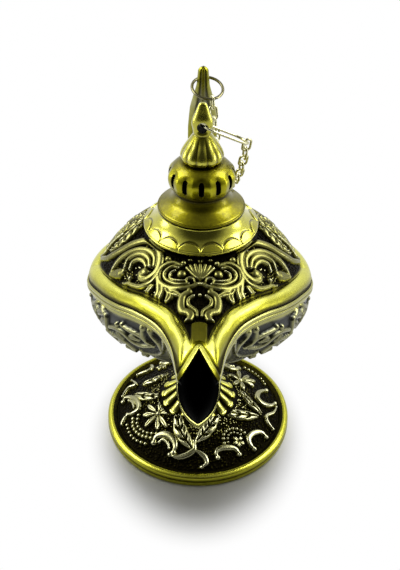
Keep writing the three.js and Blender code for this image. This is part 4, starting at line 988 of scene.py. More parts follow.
def make_lower_bowl():
    seam = seam_half() - np.array([0, 0, SEAT_GAP])
    corner = seam[-1]
    tip = np.array([0, -SPOUT_REACH, SEAM_HEIGHT + SPOUT_TIP_RISE])
    lip = lip_half(corner, (corner + tip) / 2 + np.array(LIP_BOW), tip)
    base = bowl_columns(edge_columns(seam, lip))
    wall = slice(RIM_STEPS, RIM_STEPS + BOWL_WALL_STEPS)
    share = np.linspace(0, 1, BOWL_WALL_STEPS)
    angle = np.degrees(angle_from_front(base[:, wall]))
    raised, panel = np.zeros((2, *base.shape[:2]))
    panel[:, wall] = smooth(angle, *PANEL_SIDE) * within(share, (0, PANEL_EDGE), (1 - PANEL_EDGE, 1))
    raised[:, wall] = bowl_relief(base[:, wall])
    raised *= np.sqrt(panel)
    whole = mirrored(base)
    normal = ring_normals(whole)
    normal *= np.sign((normal * (whole - np.array([0, 0, SEAM_HEIGHT]))).sum())
    outer = whole + normal * mirrored_values(raised - BOWL_SUNK * panel)[..., None]
    # The inside starts level with the rim's edge and ends straight above the base's
    normal[:, 0, 2] = 0
    normal[:, -1] *= (0, 0, 1)
    normal /= np.maximum(np.linalg.norm(normal, axis=2, keepdims=True), TINY)
    thick = wall_at(whole)
    thick[:, 0] = mix(thick[:, 0], LIP_EDGE, smooth(-whole[:, 0, 1], *LIP_THINS))
    last = whole.shape[1] - 1
    keep = np.r_[0, RIM_STEPS - 1 : last + 1 : INNER_STEP, last][::-1]
    inner = (whole - normal * thick[..., None])[:, keep]
    # Tone: dull leaves with painted highlight and shade about them on a darker panel, a pale rim with a dark
    # line in its groove
    tone = mix(RIM_TONE, wear_and_light_tone(raised, BOWL_RELIEF, BOWL_WEAR_AND_LIGHT), panel)
    tone = tone - RIM_LINE_DEPTH * bump_at(np.arange(last + 1), *RIM_LINE)
    gilt = np.maximum(1 - panel, LEAF_GILT * smooth(raised / BOWL_RELIEF, *BOWL_WEAR_AND_LIGHT[2:4]))
    shell_piece("lower_bowl", outer, inner, BOWL_METAL, np.clip(tone, 0, 1), np.clip(gilt, 0, 1))


make_lower_bowl()


# Foot: grooved rim, flowers, leaves and scrolls on a dotted field, ribbed stem
FOOT_COLUMNS = 640
FIELD_STEPS = 90
STEM_STEPS = 90
STEM_TOP = 31.7
FOOT_INSIDE = FOOT_RADIUS - 3.5
RIM_INSIDE = FOOT_RADIUS - 1.5
FOOT_RIM = [
    (FOOT_INSIDE, 0), (FOOT_RADIUS - FOOT_RIM_GROOVE, 0), (FOOT_RADIUS, 0.5), (FOOT_RADIUS, 1.35),
    (FOOT_RADIUS - FOOT_RIM_GROOVE, 1.7), (FOOT_RADIUS, 2.05), (FOOT_RADIUS - 0.2, 2.9),
    (FOOT_RADIUS - 0.9, FOOT_RIM_HEIGHT), (RIM_INSIDE, 3.3), (FOOT_RADIUS - 2.6, 2.6),
]
RIM_ROUND = 0.3
FOOT_FIELD = [(FOOT_RADIUS - 2.9, 2.5), (15.6, 5.8), STEM_BASE]
STEM_CURVE = [STEM_BASE, (5.9, 12.64), STEM_WAIST, (5.99, 27.26), (STEM_TOP_RADIUS, STEM_TOP)]
FOOT_HOLLOW = [
    (SCREW_BORE, STEM_TOP), (SCREW_BORE, 6.4), (SCREW_POCKET, 6.4), (STEM_BASE[0], 4.4), (FOOT_INSIDE, 1.4),
]
FIELD_EDGE = 22.2
STEM_FADES = 30, 31
STEM_STARTS = 8.2, 9.4
FOOT_GLINT = 0.15
GLINT_NEAR = 0.3, 1.1
GLINT_REACH = 15.5
GLINT_FADE = 3
RIM_SHEEN = 0.7
HOLLOW_TONE = 0.2
FOOT_RELIEF = 1.15
FOOT_DOTS = 0.3
SCROLL_SWELL = 1.25
SKIRT_REACH = 10.4
SKIRT_CUT = 2
SKIRT_RISE = 0.55
SKIRT_FRONT = 0.75, 0.9
SKIRT_SCALLOP = 0.9
SKIRT_CLEAR = -0.2, 0.4
FIELD_CLEAR = 0, 0.7
PLEAT_EDGE = 0, 0.6
PLEAT_CROWN = 0.1, 0.75
PROUD_FADES = 9, 12
RIB_TAPER = 21.2
RIB_START = 1.4
RIB_LEAST = 0.3
RIB_TONE = 0.95
RIB_SHADE = 0.2, 0.6
RIB_GILT = 0.25
RIM_GROOVE_LINE = 1.7, 0.3
RIM_GROOVE_SHADE = 0.45
RIM_TOP_LINE = 3.2, 0.3
RIM_TOP_GLEAM = 0.1
FIELD_GLINT = 0.95, 0.1
FLOWER_PETAL = 0.85
FLOWER_FULLEST = 0.65
FLOWER_HEART = 0.9
SMALL_PETAL = 0.6
SCROLL_END = 1.1
ARC_SAMPLES = 60
ARC_SHARE = 0.8
FLOWER_LEFT = (-10.5, -6.6)
FLOWER_LEFT_TIPS = [
    (-9.6, -2.2), (-7.4, -4.2), (-6, -7), (-8, -11.2), (-10.6, -11.4), (-14, -9.6), (-14.8, -6), (-13.6, -3),
]
FLOWER_RIGHT = (11.6, 7.2)
FLOWER_RIGHT_TIPS = [(11.2, 12.4), (14.3, 11), (16.2, 9.2), (15.6, 6.1), (12.4, 3.2), (9.6, 4), (8.2, 8.6)]
REPEATED_LEAVES = [
    (2.1, [(-1.2, -17.2), (-4.4, -12.4), (-5.6, -6)], 4),
    (2, [(-0.6, -15.6), (2.5, -12), (5.8, -6)], 4),
]
SIDE_FOOT_LEAVES = [
    (1.8, [(16.4, -5.2), (11, -6.4), (5.4, -6.4)], 4),
    (1.7, [(-17.7, 2.9), (-13.4, 0), (-9.4, -1)], 3),
    (1.4, [(17.2, -4.2), (13.5, -0.8), (11.4, 2.4)], 3),
    (1.4, [(-15.8, 6), (-12.3, 6.8), (-8.5, 8.4)], 3),
]
REPEATED_SCROLLS = [
    (0.75, [(-0.8, -15.2), (-0.8, -17), (-2.1, -18.1), (-4.8, -18.8), (-7.1, -18)]),
    (0.65, [(-0.7, -17.2), (0.7, -17.9), (2.1, -19), (2.4, -20.2), (1.2, -21.2)]),
    (0.9, [(-11.4, -14.4), (-10.7, -13), (-8.6, -12.8), (-6.6, -14), (-5.7, -16), (-6.2, -17.6)]),
    (0.5, [(-9.9, -14.6), (-9, -14.1), (-7.8, -14.9), (-7.3, -16.4)]),
    (0.75, [(5.3, -18.7), (4.8, -17.7), (5.7, -16.6), (7.8, -16), (9.8, -16), (10.9, -17.1)]),
]
SIDE_SCROLLS = [
    (0.75, [(18.2, -10.7), (16.8, -9.8), (14.8, -10.6), (13.4, -12.4), (13.8, -14), (14.9, -14.9)]),
    (0.75, [(19, 6.4), (16.7, 4), (16.2, 1.3), (17.5, 0), (19.7, 0.3), (21.3, 2)]),
    (0.5, [(21.5, 0.6), (20.6, -1.8), (18.4, -4.2), (18.7, -6.1), (20.3, -7.8)]),
    (0.75, [(-20.7, 1.3), (-20, 2.6), (-18.2, 1.8), (-16.3, -1.2), (-16, -3.4), (-17.5, -4.3), (-19, -4.1)]),
    (0.5, [(-18.9, 0.9), (-17.7, -0.4), (-17.3, -2.4)]),
    (0.5, [(-21, 3.6), (-19.3, 6.9), (-17.5, 7.2), (-18.9, 10.2)]),
    (0.5, [(-20.4, -6.9), (-19.7, -5.1), (-18.9, -4.4)]),
    (0.6, [(-17.5, 12.6), (-15.7, 13), (-13.9, 13.7), (-13.4, 16), (-14.4, 16.9)]),
]
BEAD_ARCS = [
    (9, 0.65, [(-15.9, -5.4), (-16, -8.5), (-13.7, -11.2), (-10.8, -12.2)]),
    (9, 0.75, [(-17.4, -6), (-17, -9), (-15, -11.6), (-12.2, -13)]),
    (8, 0.65, [(-18.9, -7.4), (-18, -10.2), (-16.2, -12.6), (-13.6, -14.2)]),
    (8, 0.55, [(13.4, 16.2), (16.2, 14.2), (18, 11.6), (18.8, 9.6)]),
    (7, 0.45, [(7.9, -14.6), (7.9, -13), (9.1, -11.9), (11.2, -12)]),
    (10, 0.6, [(6.9, -15), (6.7, -13.1), (7.8, -11.5), (9.9, -10.7), (11.8, -11), (13, -12)]),
]
PETAL_FULLEST = 0.55
SMALL_FLOWER = (10.7, -14)
SMALL_PETALS = [(9.3, -13), (11.4, -12.5), (12.3, -14.2), (10.9, -15.4), (9.3, -14.8)]


def half_turned(points):
    return -np.asarray(points, float)


def foot_relief(field):
    relief = Relief(field, in_plan(field))
    scrolls = [(width, np.array(stroke)) for width, stroke in REPEATED_SCROLLS + SIDE_SCROLLS]
    scrolls += [(width, half_turned(stroke)) for width, stroke in REPEATED_SCROLLS]
    for width, stroke in scrolls:
        relief.ridge(stroke, SCROLL_SWELL * width, FOOT_RELIEF)
        for end in (stroke[0], stroke[-1]):
            relief.bead(end, SCROLL_END * width, FOOT_RELIEF)
    leaves = [(width, np.array(stroke), veins) for width, stroke, veins in REPEATED_LEAVES + SIDE_FOOT_LEAVES]
    leaves += [(width, half_turned(stroke), veins) for width, stroke, veins in REPEATED_LEAVES]
    for width, stroke, veins in leaves:
        relief.leaf(stroke, width, FOOT_RELIEF, veins)
    for centre, tips in ((FLOWER_LEFT, FLOWER_LEFT_TIPS), (FLOWER_RIGHT, FLOWER_RIGHT_TIPS)):
        for tip in tips:
            stroke = between(centre, tip, PETAL_FULLEST)
            relief.petal(stroke, FLOWER_PETAL, FOOT_RELIEF, fullest=FLOWER_FULLEST)
        relief.bead(centre, FLOWER_HEART, FOOT_RELIEF)
    for tip in SMALL_PETALS:
        stroke = between(SMALL_FLOWER, tip, PETAL_FULLEST)
        for line in (stroke, half_turned(stroke)):
            relief.petal(line, SMALL_PETAL, FOOT_RELIEF)
    for count, radius, arc in BEAD_ARCS:
        for centre in even(curve_through(arc, ARC_SAMPLES), count):
            relief.bead(centre, radius, ARC_SHARE * FOOT_RELIEF)
    relief.dots(DOT_PITCH, DOT_RADIUS, FOOT_DOTS)
    return relief.grid()


def make_foot():
    rim = rounded(FOOT_RIM, RIM_ROUND)
    field = curve_through(FOOT_FIELD, FIELD_STEPS)
    stem = curve_through(STEM_CURVE, STEM_STEPS)[1:]
    columns = lathe(np.vstack([rim, field, stem, FOOT_HOLLOW]), FOOT_COLUMNS)
    first, last, end = len(rim), len(rim) + FIELD_STEPS, len(rim) + FIELD_STEPS + len(stem)
    z = columns[..., 2]
    radius = reach_of(columns)
    on_field = on_rows(columns, first, last)
    on_stem = on_rows(columns, last, end) * (1 - smooth(z, *STEM_FADES))
    valley = ribs(turn_of(columns), STEM_RIBS)
    # The stem's ribs spread out on the field as a pleated skirt, and the relief keeps clear of it
    reach = SKIRT_REACH - SKIRT_CUT * smooth(np.abs(columns[..., 1]) / radius, *SKIRT_FRONT)
    pleat = on_field * smooth(reach - SKIRT_SCALLOP * valley - radius, *PLEAT_EDGE)
    raised = np.zeros(columns.shape[:2])
    raised[:, first:last] = foot_relief(columns[:, first:last])
    raised *= smooth(FIELD_EDGE - radius, *FIELD_CLEAR) * smooth(radius - reach, *SKIRT_CLEAR)
    raised = mix(raised, SKIRT_RISE * smooth(1 - valley, *PLEAT_CROWN), pleat)
    normal = ring_normals(columns)
    normal *= np.sign(normal[:, first:last, 2].sum())
    proud = SKIRT_RISE * (1 - valley) * (1 - smooth(z, *PROUD_FADES))
    depth = STEM_RIB_DEPTH * np.clip(RIB_START - (z - STEM_BASE[1]) / RIB_TAPER, RIB_LEAST, 1)
    shaped = columns + normal * (raised + proud * on_stem)[..., None]
    shaped = scaled_radius(shaped, -depth * valley * on_stem * smooth(z, *STEM_STARTS))
    # Tone: rubbed tops with painted highlight and shade about the relief on a dark field, painted glints on
    # the dots near the skirt, painted shade in the grooves of the ribs and the rim, and a painted gleam along
    # the rim's top
    # Painted glints on the dots, strongest near the skirt
    near_skirt = mix(*GLINT_NEAR, smooth(GLINT_REACH - radius, 0, GLINT_FADE))
    glint = FIELD_GLINT[0] * dot_glint(raised, FOOT_GLINT, FOOT_DOTS) * near_skirt - FIELD_GLINT[1]
    worn_and_lit = np.maximum(wear_and_light_tone(raised, FOOT_RELIEF, FOOT_WEAR_AND_LIGHT), glint)
    # Painted shade in the valleys between the ribs
    ribbed = RIB_TONE * (1 - smooth(valley, *RIB_SHADE))
    # Painted shade in the rim's groove and a painted gleam along its top edge
    rim_tone = RIM_SHEEN - RIM_GROOVE_SHADE * bump_at(z, *RIM_GROOVE_LINE)
    rim_tone += RIM_TOP_GLEAM * bump_at(z, *RIM_TOP_LINE)
    tone = mix(mix(rim_tone, mix(worn_and_lit, ribbed, pleat), on_field), ribbed, on_stem)
    tone = np.where((radius < RIM_INSIDE) & (on_field + on_stem == 0), INSIDE_TONE, tone)
    tone[:, end:] = HOLLOW_TONE
    gilt = 1 - np.maximum(on_field, on_stem) * mix(1, RIB_GILT, np.maximum(pleat, on_stem))
    smooth_piece("foot_cast", shaped, "lamp", BRASS, "foot", np.clip(tone, *TONES), gilt)


make_foot()


# Collar: a flared neck whose edge carries sixteen rounded lobes
COLLAR_BORE = 8.6
COLLAR_EDGE = 13.4
SPIGOT = SHELL_TOP[0] - SEAT_GAP
COLLAR_UNDERSIDE = [
    (COLLAR_BORE, 62.2), (SPIGOT, 62.2), (SPIGOT, SHELL_TOP[1] + SEAT_GAP), (COLLAR_EDGE - 0.4, 63.8),
    (COLLAR_EDGE, 64.1), (COLLAR_EDGE, 64.75),
]
COLLAR_SKIRT = [(13.2, 65), (12.5, 65.55), (11.8, 66.15), (11, 67), (10.4, 67.9), (10.1, 68.5)]
COLLAR_TOP = [(10.05, 68.8), (COLLAR_BORE, 68.8)]
SKIRT_STEPS = 70
COLLAR_PETALS = 16
PETAL_COLUMNS = 40
LOBE_LENGTH = 1.55
LOBE_RISE = 0.22
LOBE_CUT = 0.12
LOBE_EDGE = 0, 0.25
LOBE_LINE = -0.1, 0.14
LOBE_RIM = 0.2, 0.16
LOBE_SHADE = 0.16
LINE_SHADE = 0.6
RIM_GLEAM = 0.1
COLLAR_TONE = 0.9
COLLAR_ROUND = 0.2
COLLAR_TOP_ROUND = 0.15


def make_collar():
    below = rounded(COLLAR_UNDERSIDE, COLLAR_ROUND)
    skirt = curve_through(COLLAR_SKIRT, SKIRT_STEPS)
    top = rounded(COLLAR_TOP, COLLAR_TOP_ROUND)
    columns = lathe(np.vstack([below, skirt, top]), COLLAR_PETALS * PETAL_COLUMNS)
    first, last = len(below), len(below) + SKIRT_STEPS
    on_skirt = on_rows(columns, first, last)
    across = 2 * np.mod(turn_of(columns) * COLLAR_PETALS / (2 * math.pi), 1) - 1
    inside = reach_of(columns) - (COLLAR_SKIRT[0][0] - LOBE_LENGTH * crown(across))
    lobe = on_skirt * smooth(inside, *LOBE_EDGE)
    line = on_skirt * bump_at(inside, *LOBE_LINE)
    edge = on_skirt * bump_at(inside, *LOBE_RIM)
    normal = ring_normals(columns)
    normal *= np.sign(normal[:, first:last, 2].sum())
    shaped = columns + normal * (LOBE_RISE * lobe - LOBE_CUT * line)[..., None]
    # Painted shade over the lobes and in the line round them, and a painted gleam along the lobes' edge
    tone = COLLAR_TONE - LOBE_SHADE * lobe - LINE_SHADE * line + RIM_GLEAM * edge
    smooth_piece("collar_cast", shaped, "lamp", POLISHED, "collar", np.clip(tone, 0, 1))


make_collar()


# Lid and finial, cut with solid shapes
LID_SEAT = 69.1
LID_RIM = 10.2
LID_RIM_TOP = LID_SEAT + 0.7
LID_NECK = (6.2, 73.4)
DRUM = (7.8, 77.39)
LID_BORE = 1.2
LID_PLUG = (8.1, 65.4)
LID_FLANGE = [
    LID_PLUG, (LID_PLUG[0], LID_SEAT), (LID_RIM - 0.15, LID_SEAT), (LID_RIM, LID_SEAT + 0.35),
    (LID_RIM - 0.2, LID_RIM_TOP),
]
LID_FLARE = [(LID_RIM - 0.45, LID_RIM_TOP + 0.16), (8.6, 70.55), (7.3, 71.4), (6.6, 72.4), LID_NECK]
DRUM_CURVE = [(6.32, 73.8), (7.3, 75), DRUM, (7.3, 78.9), (6.1, 80.1), (5, 80.75), (3.6, 80.85)]
LID_HOLLOW = [
    (LID_BORE, 80.4), (LID_BORE, 78.9), (3.8, 78.9), (5.75, 78.59), (6.6, 77.39), (5, 73.4), (5.57, 69.9),
    (6.9, 68.7), (6.9, 65.4),
]
DRUM_STARTS = 73.9, 75.4
DRUM_ENDS = 79, 80.1
DRUM_LEAST = 5
LID_ROUND = 0.2
FLARE_STEPS = 40
DRUM_STEPS = 70
LID_TONE = 0.47
DRUM_TONE = 0.76
DRUM_SHADE = 0.3
NECK_LINE = LID_NECK[1] + 0.2, 0.5
NECK_SHADE = 0.4
VENTS = 12
VENT_SIZE = (1.15, 3.4)
VENT_REACH = DRUM[0] - 2.6, DRUM[0] + 2
VENT_VALLEY = 0.35
VENT_SIDES = 32
LOBE_COLUMNS = 24
FINIAL_LOBES = 12
LOBE_GROOVE = 0.22
KNOB_NECK = (2, 87.6)
FINIAL_CURVE = [(3.6, 80.95), (4.45, 81.4), (4.9, 82.3), (4.65, 83.5), (3.95, 84.8), (2.95, 86.2), KNOB_NECK]
KNOB_CURVE = [
    KNOB_NECK, (2.15, 88.7), (2.4, 89.9), (2.2, 91.1), (1.6, 92.6), (1.15, 93.8), (0.85, 94.5), (0.5, 94.75),
    (0.05, 94.8),
]
FINIAL_HOLLOW = [(0.05, 84.5), (LID_BORE, 84.5), (LID_BORE, FINIAL_CURVE[0][1])]
FINIAL_STARTS = 80.9, 81.5
FINIAL_ENDS = 85, KNOB_NECK[1]
FINIAL_STEPS = 70
FINIAL_TONE = 0.82
LOBE_TONE = 0.9
GROOVE_SHADE = 0.45
KNOB_LINE = KNOB_NECK[1], 0.5
KNOB_SHADE = 0.2
FINIAL_INSIDE_TONE = 0.1
KNOB_HOLE = (1.2, 89.6)
HOLE_REACH = np.array([0, 4, 0])
KNOB_FLATNESS = 0.75
KNOB_FLATTENS = KNOB_NECK[1], KNOB_HOLE[1] - 0.6
HOLE_SIDES = 40


def cut_piece(piece, cutters):
    """Takes each cutter's solid out of a piece, and leaves the walls of the cut in the cutter's finish."""
    for cutter in cutters:
        modifier = piece.modifiers.new("cut", "BOOLEAN")
        modifier.operation = "DIFFERENCE"
        modifier.solver = "EXACT"
        modifier.material_mode = "TRANSFER"
        modifier.object = cutter
    shown = piece.evaluated_get(bpy.context.evaluated_depsgraph_get())
    mesh = bpy.data.meshes.new_from_object(shown)
    piece.modifiers.clear()
    piece.data = mesh
    for cutter in cutters:
        bpy.data.objects.remove(cutter)


def cutter_from(rings):
    """A solid bounded by a loft of rings, for cutting."""
    mesh = solid_mesh("cutter", rings.reshape(-1, 3), loft_faces(numbered(rings)))
    mesh.materials.append(SOOT)
    return show("cutter", mesh)


def vent_cutter(turn):
    """A round-ended slot through the drum's wall."""
    wide, tall = VENT_SIZE
    spin = full_turn(VENT_SIDES)
    across = wide / 2 * np.cos(spin)
    up = DRUM[1] + wide / 2 * np.sin(spin) + np.sign(np.sin(spin)) * (tall - wide) / 2
    forward, side = np.array([math.sin(turn), -math.cos(turn)]), np.array([math.cos(turn), math.sin(turn)])
    rings = [np.column_stack([reach * forward + across[:, None] * side, up]) for reach in VENT_REACH]
    return cutter_from(np.array(rings))


def make_lid():
    flare, barrel = curve_through(LID_FLARE, FLARE_STEPS), curve_through(DRUM_CURVE, DRUM_STEPS)
    outer = np.vstack([rounded(LID_FLANGE, LID_ROUND), flare, barrel])
    columns = lathe(np.vstack([outer, LID_HOLLOW]), VENTS * LOBE_COLUMNS)
    z = columns[..., 2]
    skin = on_rows(columns, 0, len(outer))
    drum = skin * within(z, DRUM_STARTS, DRUM_ENDS) * (reach_of(columns) > DRUM_LEAST)
    valley = ribs(turn_of(columns) + math.pi / VENTS, VENTS)
    shaped = scaled_radius(columns, -VENT_VALLEY * np.sqrt(valley) * drum)
    # Painted shade round the vents in the drum's valleys and along the line at the neck
    tone = mix(LID_TONE, DRUM_TONE - DRUM_SHADE * valley, drum) - NECK_SHADE * bump_at(z, *NECK_LINE)
    tone = mix(INSIDE_TONE, tone, skin)
    lid = smooth_piece("lid_cast", shaped, "lid", LID_METAL, "lid_base", tone)
    cut_piece(lid, [vent_cutter(turn) for turn in full_turn(VENTS)])


make_lid()


def make_finial():
    outer = np.vstack([curve_through(line, FINIAL_STEPS)[1:] for line in (FINIAL_CURVE, KNOB_CURVE)])
    columns = lathe(np.vstack([FINIAL_HOLLOW, FINIAL_CURVE[:1], outer]), FINIAL_LOBES * LOBE_COLUMNS)
    z = columns[..., 2]
    skin = on_rows(columns, len(FINIAL_HOLLOW) + 1)
    lobes = skin * within(z, FINIAL_STARTS, FINIAL_ENDS)
    groove = ribs(turn_of(columns), FINIAL_LOBES)
    shaped = scaled_radius(columns, -LOBE_GROOVE * groove * lobes)
    shaped[..., 1] *= mix(1, KNOB_FLATNESS, smooth(z, *KNOB_FLATTENS) * skin)
    # Painted shade in the grooves between the lobes and along the knob's neck
    tone = mix(FINIAL_TONE, LOBE_TONE - GROOVE_SHADE * groove**2, lobes) - KNOB_SHADE * bump_at(z, *KNOB_LINE)
    tone = mix(FINIAL_INSIDE_TONE, tone, skin)
    finial = smooth_piece("finial_cast", shaped, "lid", POLISHED, "lid_finial", tone, None,
                          turned_faces)
    spin = full_turn(HOLE_SIDES)
    ring = np.stack([np.cos(spin), np.zeros_like(spin), np.sin(spin)], axis=1) * KNOB_HOLE[0]
    ring[:, 2] += KNOB_HOLE[1]
    cut_piece(finial, [cutter_from(np.array([ring - HOLE_REACH, ring + HOLE_REACH]))])


make_finial()


# Handle: a tapering strap swept up behind the body, its pad shaped to the bowl
HANDLE_ROOT_HEIGHT = 41
HANDLE_ROOT_LENGTH = 3.4
HANDLE_PATH = [
    (38, 37.4), (46.3, 43), (50.9, 53.5), (49.6, 64.5), (44, 73), (38, 79), (34.6, 83.6), (33.3, 87.8),
]
HANDLE_HALVES = [5.4, 3.7, 3.2, 3.5, 4.2, 4.1, 3.5, 2.6, 1.7, 1.35]
HANDLE_THICKS = [3.6, 2.4, 1.95, 1.7, 1.5, 1.45, 1.4, 1.4, 1.35, 1.3]
HANDLE_SECTION = 1.55
HANDLE_ROUND = 1.3
HANDLE_SIDES = 120
FLUTE_PLACE = 0.42
FLUTE_WIDTH = 0.16
FLUTE_DEPTH = 0.22
HANDLE_STEPS = 200
HANDLE_CAP = np.radians(np.linspace(8, 88, 11))
HANDLE_TONE = 0.42
EDGE_GLEAM = 0.22
FLUTE_SHADE = 0.4
PAD_SPAN = 0.01
PAD_SAMPLES = 400
PAD_PASSES = 30
PAD_STEP = 0.6
PAD_LEAST = 0.05


def squared(values):
    """Sines or cosines for a section between a diamond and an oval."""
    return np.sign(values) * np.abs(values) ** (2 / HANDLE_SECTION)


def make_handle():
    top = SEAM_HEIGHT - RIM_HEIGHT
    part = math.asin((top - HANDLE_ROOT_HEIGHT) / (top - BOWL_BASE[1])) / (math.pi / 2)
    (r0, z0), (r1, z1) = bowl_profile(part - PAD_SPAN), bowl_profile(part + PAD_SPAN)
    slope = np.array([0, z0 - z1, r1 - r0])
    out = slope / np.linalg.norm(slope)
    root = np.array([0, *bowl_profile(part)])
    bends = [(0, back, up) for back, up in HANDLE_PATH]
    line = curve_through([root - CAST_WALL * out, root + HANDLE_ROOT_LENGTH * out, *bends], HANDLE_STEPS)
    tangent = np.gradient(line, axis=0)
    tangent /= np.linalg.norm(tangent, axis=1, keepdims=True)
    share = np.linspace(0, len(HANDLE_HALVES) - 1, HANDLE_STEPS)
    stations = np.arange(len(HANDLE_HALVES))
    half, thick = (np.interp(share, stations, sizes) for sizes in (HANDLE_HALVES, HANDLE_THICKS))
    # A round cap at the free end
    line = np.vstack([line, line[-1] + tangent[-1] * (HANDLE_ROUND * np.sin(HANDLE_CAP))[:, None]])
    tangent = np.vstack([tangent, np.repeat(tangent[-1:], len(HANDLE_CAP), axis=0)])
    half, thick = (np.append(sizes, sizes[-1] * np.cos(HANDLE_CAP))[:, None] for sizes in (half, thick))
    side = np.array([1, 0, 0])
    back = np.cross(tangent, side)[:, None]
    spin = full_turn(HANDLE_SIDES)
    x = squared(np.cos(spin))
    flute = bump_at(np.abs(x), FLUTE_PLACE, FLUTE_WIDTH)
    y = squared(np.sin(spin)) * (1 - FLUTE_DEPTH * flute)
    rings = line[:, None] + side * (half * x)[..., None] + back * (thick * y)[..., None]
    # The pad is pushed out until it lies on the bowl, and rings that fall together there are left out
    radius, rise = bowl_profile(np.linspace(0, 1, PAD_SAMPLES))
    for _ in range(PAD_PASSES):
        limit = np.interp(rings[..., 2], rise[::-1], radius[::-1]) + RIM_PROUD + SEAT_GAP
        inside = np.clip(limit - reach_of(rings), 0, None) * (rings[..., 2] < SEAM_HEIGHT)
        rings += out * inside[..., None] * PAD_STEP
    apart = np.all(np.linalg.norm(np.diff(rings, axis=0), axis=2) > PAD_LEAST, axis=1)
    rings = rings[int(np.argmax(apart)) :]
    # Painted gleam towards the strap's edges and painted shade in its flutes
    tone = HANDLE_TONE + EDGE_GLEAM * np.abs(x) - FLUTE_SHADE * flute
    smooth_piece("handle_cast", rings, "lamp", BRASS, "handle", tone, 1, loft_faces)


make_handle()


# Rings and chain links: round wire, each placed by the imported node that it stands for
WIRE_SIDES = 14
BEND_STEPS = 16
LINK_SIZE = (4, 2.4, 0.55)
HANG_RING_SIZE = (8.66, 8.66, 0.76)
LID_RING_WIRE = 0.6
HANG_RING_TONE = 0.42
LID_RING_TONE = 0.8
LINK_TONE = 0.75


def wire_oval(length, width, wire):
    """Rings of points round a closed loop of wire: half a turn at each end and straight sides."""
    bend = (width - wire) / 2
    reach = (length - wire) / 2 - bend
    turn = np.linspace(-math.pi / 2, math.pi / 2, BEND_STEPS)
    turn = np.concatenate([turn, turn + math.pi])
    end = np.repeat([reach, -reach], BEND_STEPS)
    spin = full_turn(WIRE_SIDES)[None, :]
    radius = bend + wire / 2 * np.cos(spin)
    x = end[:, None] + radius * np.cos(turn)[:, None]
    y = radius * np.sin(turn)[:, None]
    z = np.broadcast_to(wire / 2 * np.sin(spin), x.shape)
    return np.stack([x, y, z], axis=-1)


def make_wire(node, tone, size=None, wire=None):
    """Wire in place of a packed loop, of a given size or of the loop's own length and width."""
    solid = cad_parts[node]
    points = np.array([solid.matrix_world @ v.co for v in solid.data.vertices]) / MM
    middle = points.mean(axis=0)
    axes = np.linalg.svd(points - middle, full_matrices=False)[2]
    local = (points - middle) @ axes.T
    middle = middle + (local.max(axis=0) + local.min(axis=0)) / 2 @ axes
    if np.linalg.det(axes) < 0:
        axes[2] *= -1
    length, width, _ = np.ptp(local, axis=0)
    loop = wire_oval(*(size or (length, width, wire)))
    smooth_piece(node + "_wire", loop @ axes + middle, node, CHAIN_METAL, node, tone)


make_wire("chain_ring", HANG_RING_TONE, HANG_RING_SIZE)
make_wire("lid_ring", LID_RING_TONE, wire=LID_RING_WIRE)
for name in sorted(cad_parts):
    if name.startswith("chain_link"):
        make_wire(name, LINK_TONE, LINK_SIZE)


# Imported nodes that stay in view
for node, material in (("incense_cup", CUP_METAL), ("stem_screw", STEEL), ("stem_nut", STEEL),
                       ("finial_screw", STEEL), ("handle_screw", STEEL)):
    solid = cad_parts[node]
    solid.data.materials.clear()
    solid.data.materials.append(material)


# Camera, floor and light
CAMERA_PLACE = (0, -166.67, 172.03)
CAMERA_PITCH = 37.07
CAMERA_ROLL = 0.9
CAMERA_LENS = 53.295
SOFT_LEVEL = 0.12
ROOM_BY_HEIGHT = (0.7, 1), (0.98, 0.35)
ROOM_BY_DEPTH = (-0.75, 0.04), (-0.1, 1)
SHADOW_SHIFT = (0, 0.005, 0)
SHADOW_SHAPE = (1.3, 1, 1)
SHADOW_FADE = (0.0245, 0), (0.04, 1)
FLOOR_HALF = 3
FLOOR_DROP = 0.0001
PAPER = (0.92, 0.92, 0.92, 1)
PAPER_ROUGHNESS = 0.9
LAMP_AIM = (0, 0, 0.05)
# Lamps: azimuth from the front, height, distance, size, power, and whether they shine in the metal
LAMPS = {
    "lamp_left": (-100, 44, 0.5, 0.27, 2.2, True),
    "lamp_low_left": (-95, 6, 0.5, 0.14, 0.4, True),
    "lamp_low_right": (95, 6, 0.5, 0.14, 0.4, True),
    "lamp_right": (100, 44, 0.5, 0.27, 2.2, True),
    "lamp_back_left": (-140, 36, 0.5, 0.2, 0.25, True),
    "lamp_back_right": (140, 36, 0.5, 0.2, 0.25, True),
    "lamp_top": (180, 84, 0.55, 0.26, 2.5, False),
}


def make_camera():
    data = bpy.data.cameras.new("camera")
    data.lens = CAMERA_LENS
    camera = show("camera", data)
    pitch = Matrix.Rotation(math.radians(90 - CAMERA_PITCH), 4, "X")
    roll = Matrix.Rotation(math.radians(CAMERA_ROLL), 4, "Z")
    camera.matrix_world = Matrix.Translation(Vector(CAMERA_PLACE) * MM) @ pitch @ roll
    bpy.context.scene.camera = camera


def make_light(name, azimuth, height, distance, size, power, in_metal):
    """A soft square lamp that looks at the body. It shines in the metal or lights what is matt."""
    data = bpy.data.lights.new(name, "AREA")
    data.size = size
    data.energy = power
    lamp = show(name, data)
    lamp.visible_camera = False
    lamp.visible_diffuse = not in_metal
    lamp.visible_glossy = in_metal
    a, e = math.radians(azimuth), math.radians(height)
    place = Vector((math.sin(a) * math.cos(e), -math.cos(a) * math.cos(e), math.sin(e))) * distance
    lamp.location = place + Vector(LAMP_AIM)
    lamp.rotation_euler = (-place).to_track_quat("-Z", "Y").to_euler()


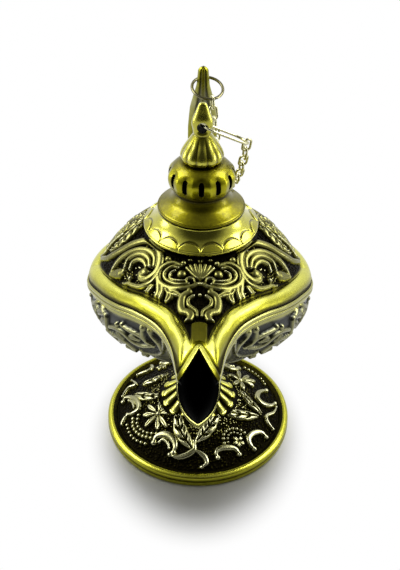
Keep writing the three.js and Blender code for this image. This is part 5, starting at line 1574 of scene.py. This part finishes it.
def make_world():
    """White where the camera sees it, a room of light and dark in the metal, and soft light for the rest."""
    world = bpy.data.worlds.new("studio")
    bpy.context.scene.world = world
    tree = Shading(world)
    way = tree.add("SeparateXYZ", {"Vector": tree.add("TexCoord").outputs["Generated"]}).outputs
    by_height, by_depth = tree.levels(way["Z"], *ROOM_BY_HEIGHT), tree.levels(way["Y"], *ROOM_BY_DEPTH)
    room = tree.combined("MULTIPLY", by_height, by_depth)
    white = tree.combined("MAXIMUM", room, tree.add("LightPath").outputs["Is Camera Ray"])
    soft = tree.put(tree.nodes["Background"], {"Color": (1, 1, 1, 1), "Strength": SOFT_LEVEL})
    seen = tree.add("Background", {"Color": white, "Strength": 1})
    surface = tree.blended(tree.seen_share(), soft.outputs["Background"], seen.outputs["Background"])
    tree.put(tree.nodes["World Output"], {"Surface": surface})


def make_floor():
    """White paper that takes the shadow near the foot and is plain white further out."""
    mesh = bpy.data.meshes.new("floor")
    corners = [(x * FLOOR_HALF, y * FLOOR_HALF, 0) for x, y in ((-1, -1), (1, -1), (1, 1), (-1, 1))]
    mesh.from_pydata(corners, [], [(0, 1, 2, 3)])
    material = bpy.data.materials.new("floor")
    tree = Shading(material)
    paper = tree.put(tree.nodes["Principled BSDF"], {"Base Color": PAPER, "Roughness": PAPER_ROUGHNESS})
    place = tree.add("TexCoord").outputs["Object"]
    moved = tree.add("Mapping", {"Vector": place, "Location": SHADOW_SHIFT, "Scale": SHADOW_SHAPE})
    length = tree.add("VectorMath", {0: moved.outputs["Vector"]})
    length.operation = "LENGTH"
    far = tree.levels(length.outputs["Value"], *SHADOW_FADE)
    share = tree.combined("MULTIPLY", far, tree.seen_share())
    surface = tree.blended(share, paper.outputs["BSDF"], tree.add("Emission").outputs["Emission"])
    tree.put(tree.nodes["Material Output"], {"Surface": surface})
    mesh.materials.append(material)
    floor = show("floor", mesh)
    floor.location.z = -FLOOR_DROP


make_camera()
for lamp_name, setting in LAMPS.items():
    make_light(lamp_name, *setting)
make_world()
make_floor()
bpy.context.scene.view_settings.view_transform = "Standard"
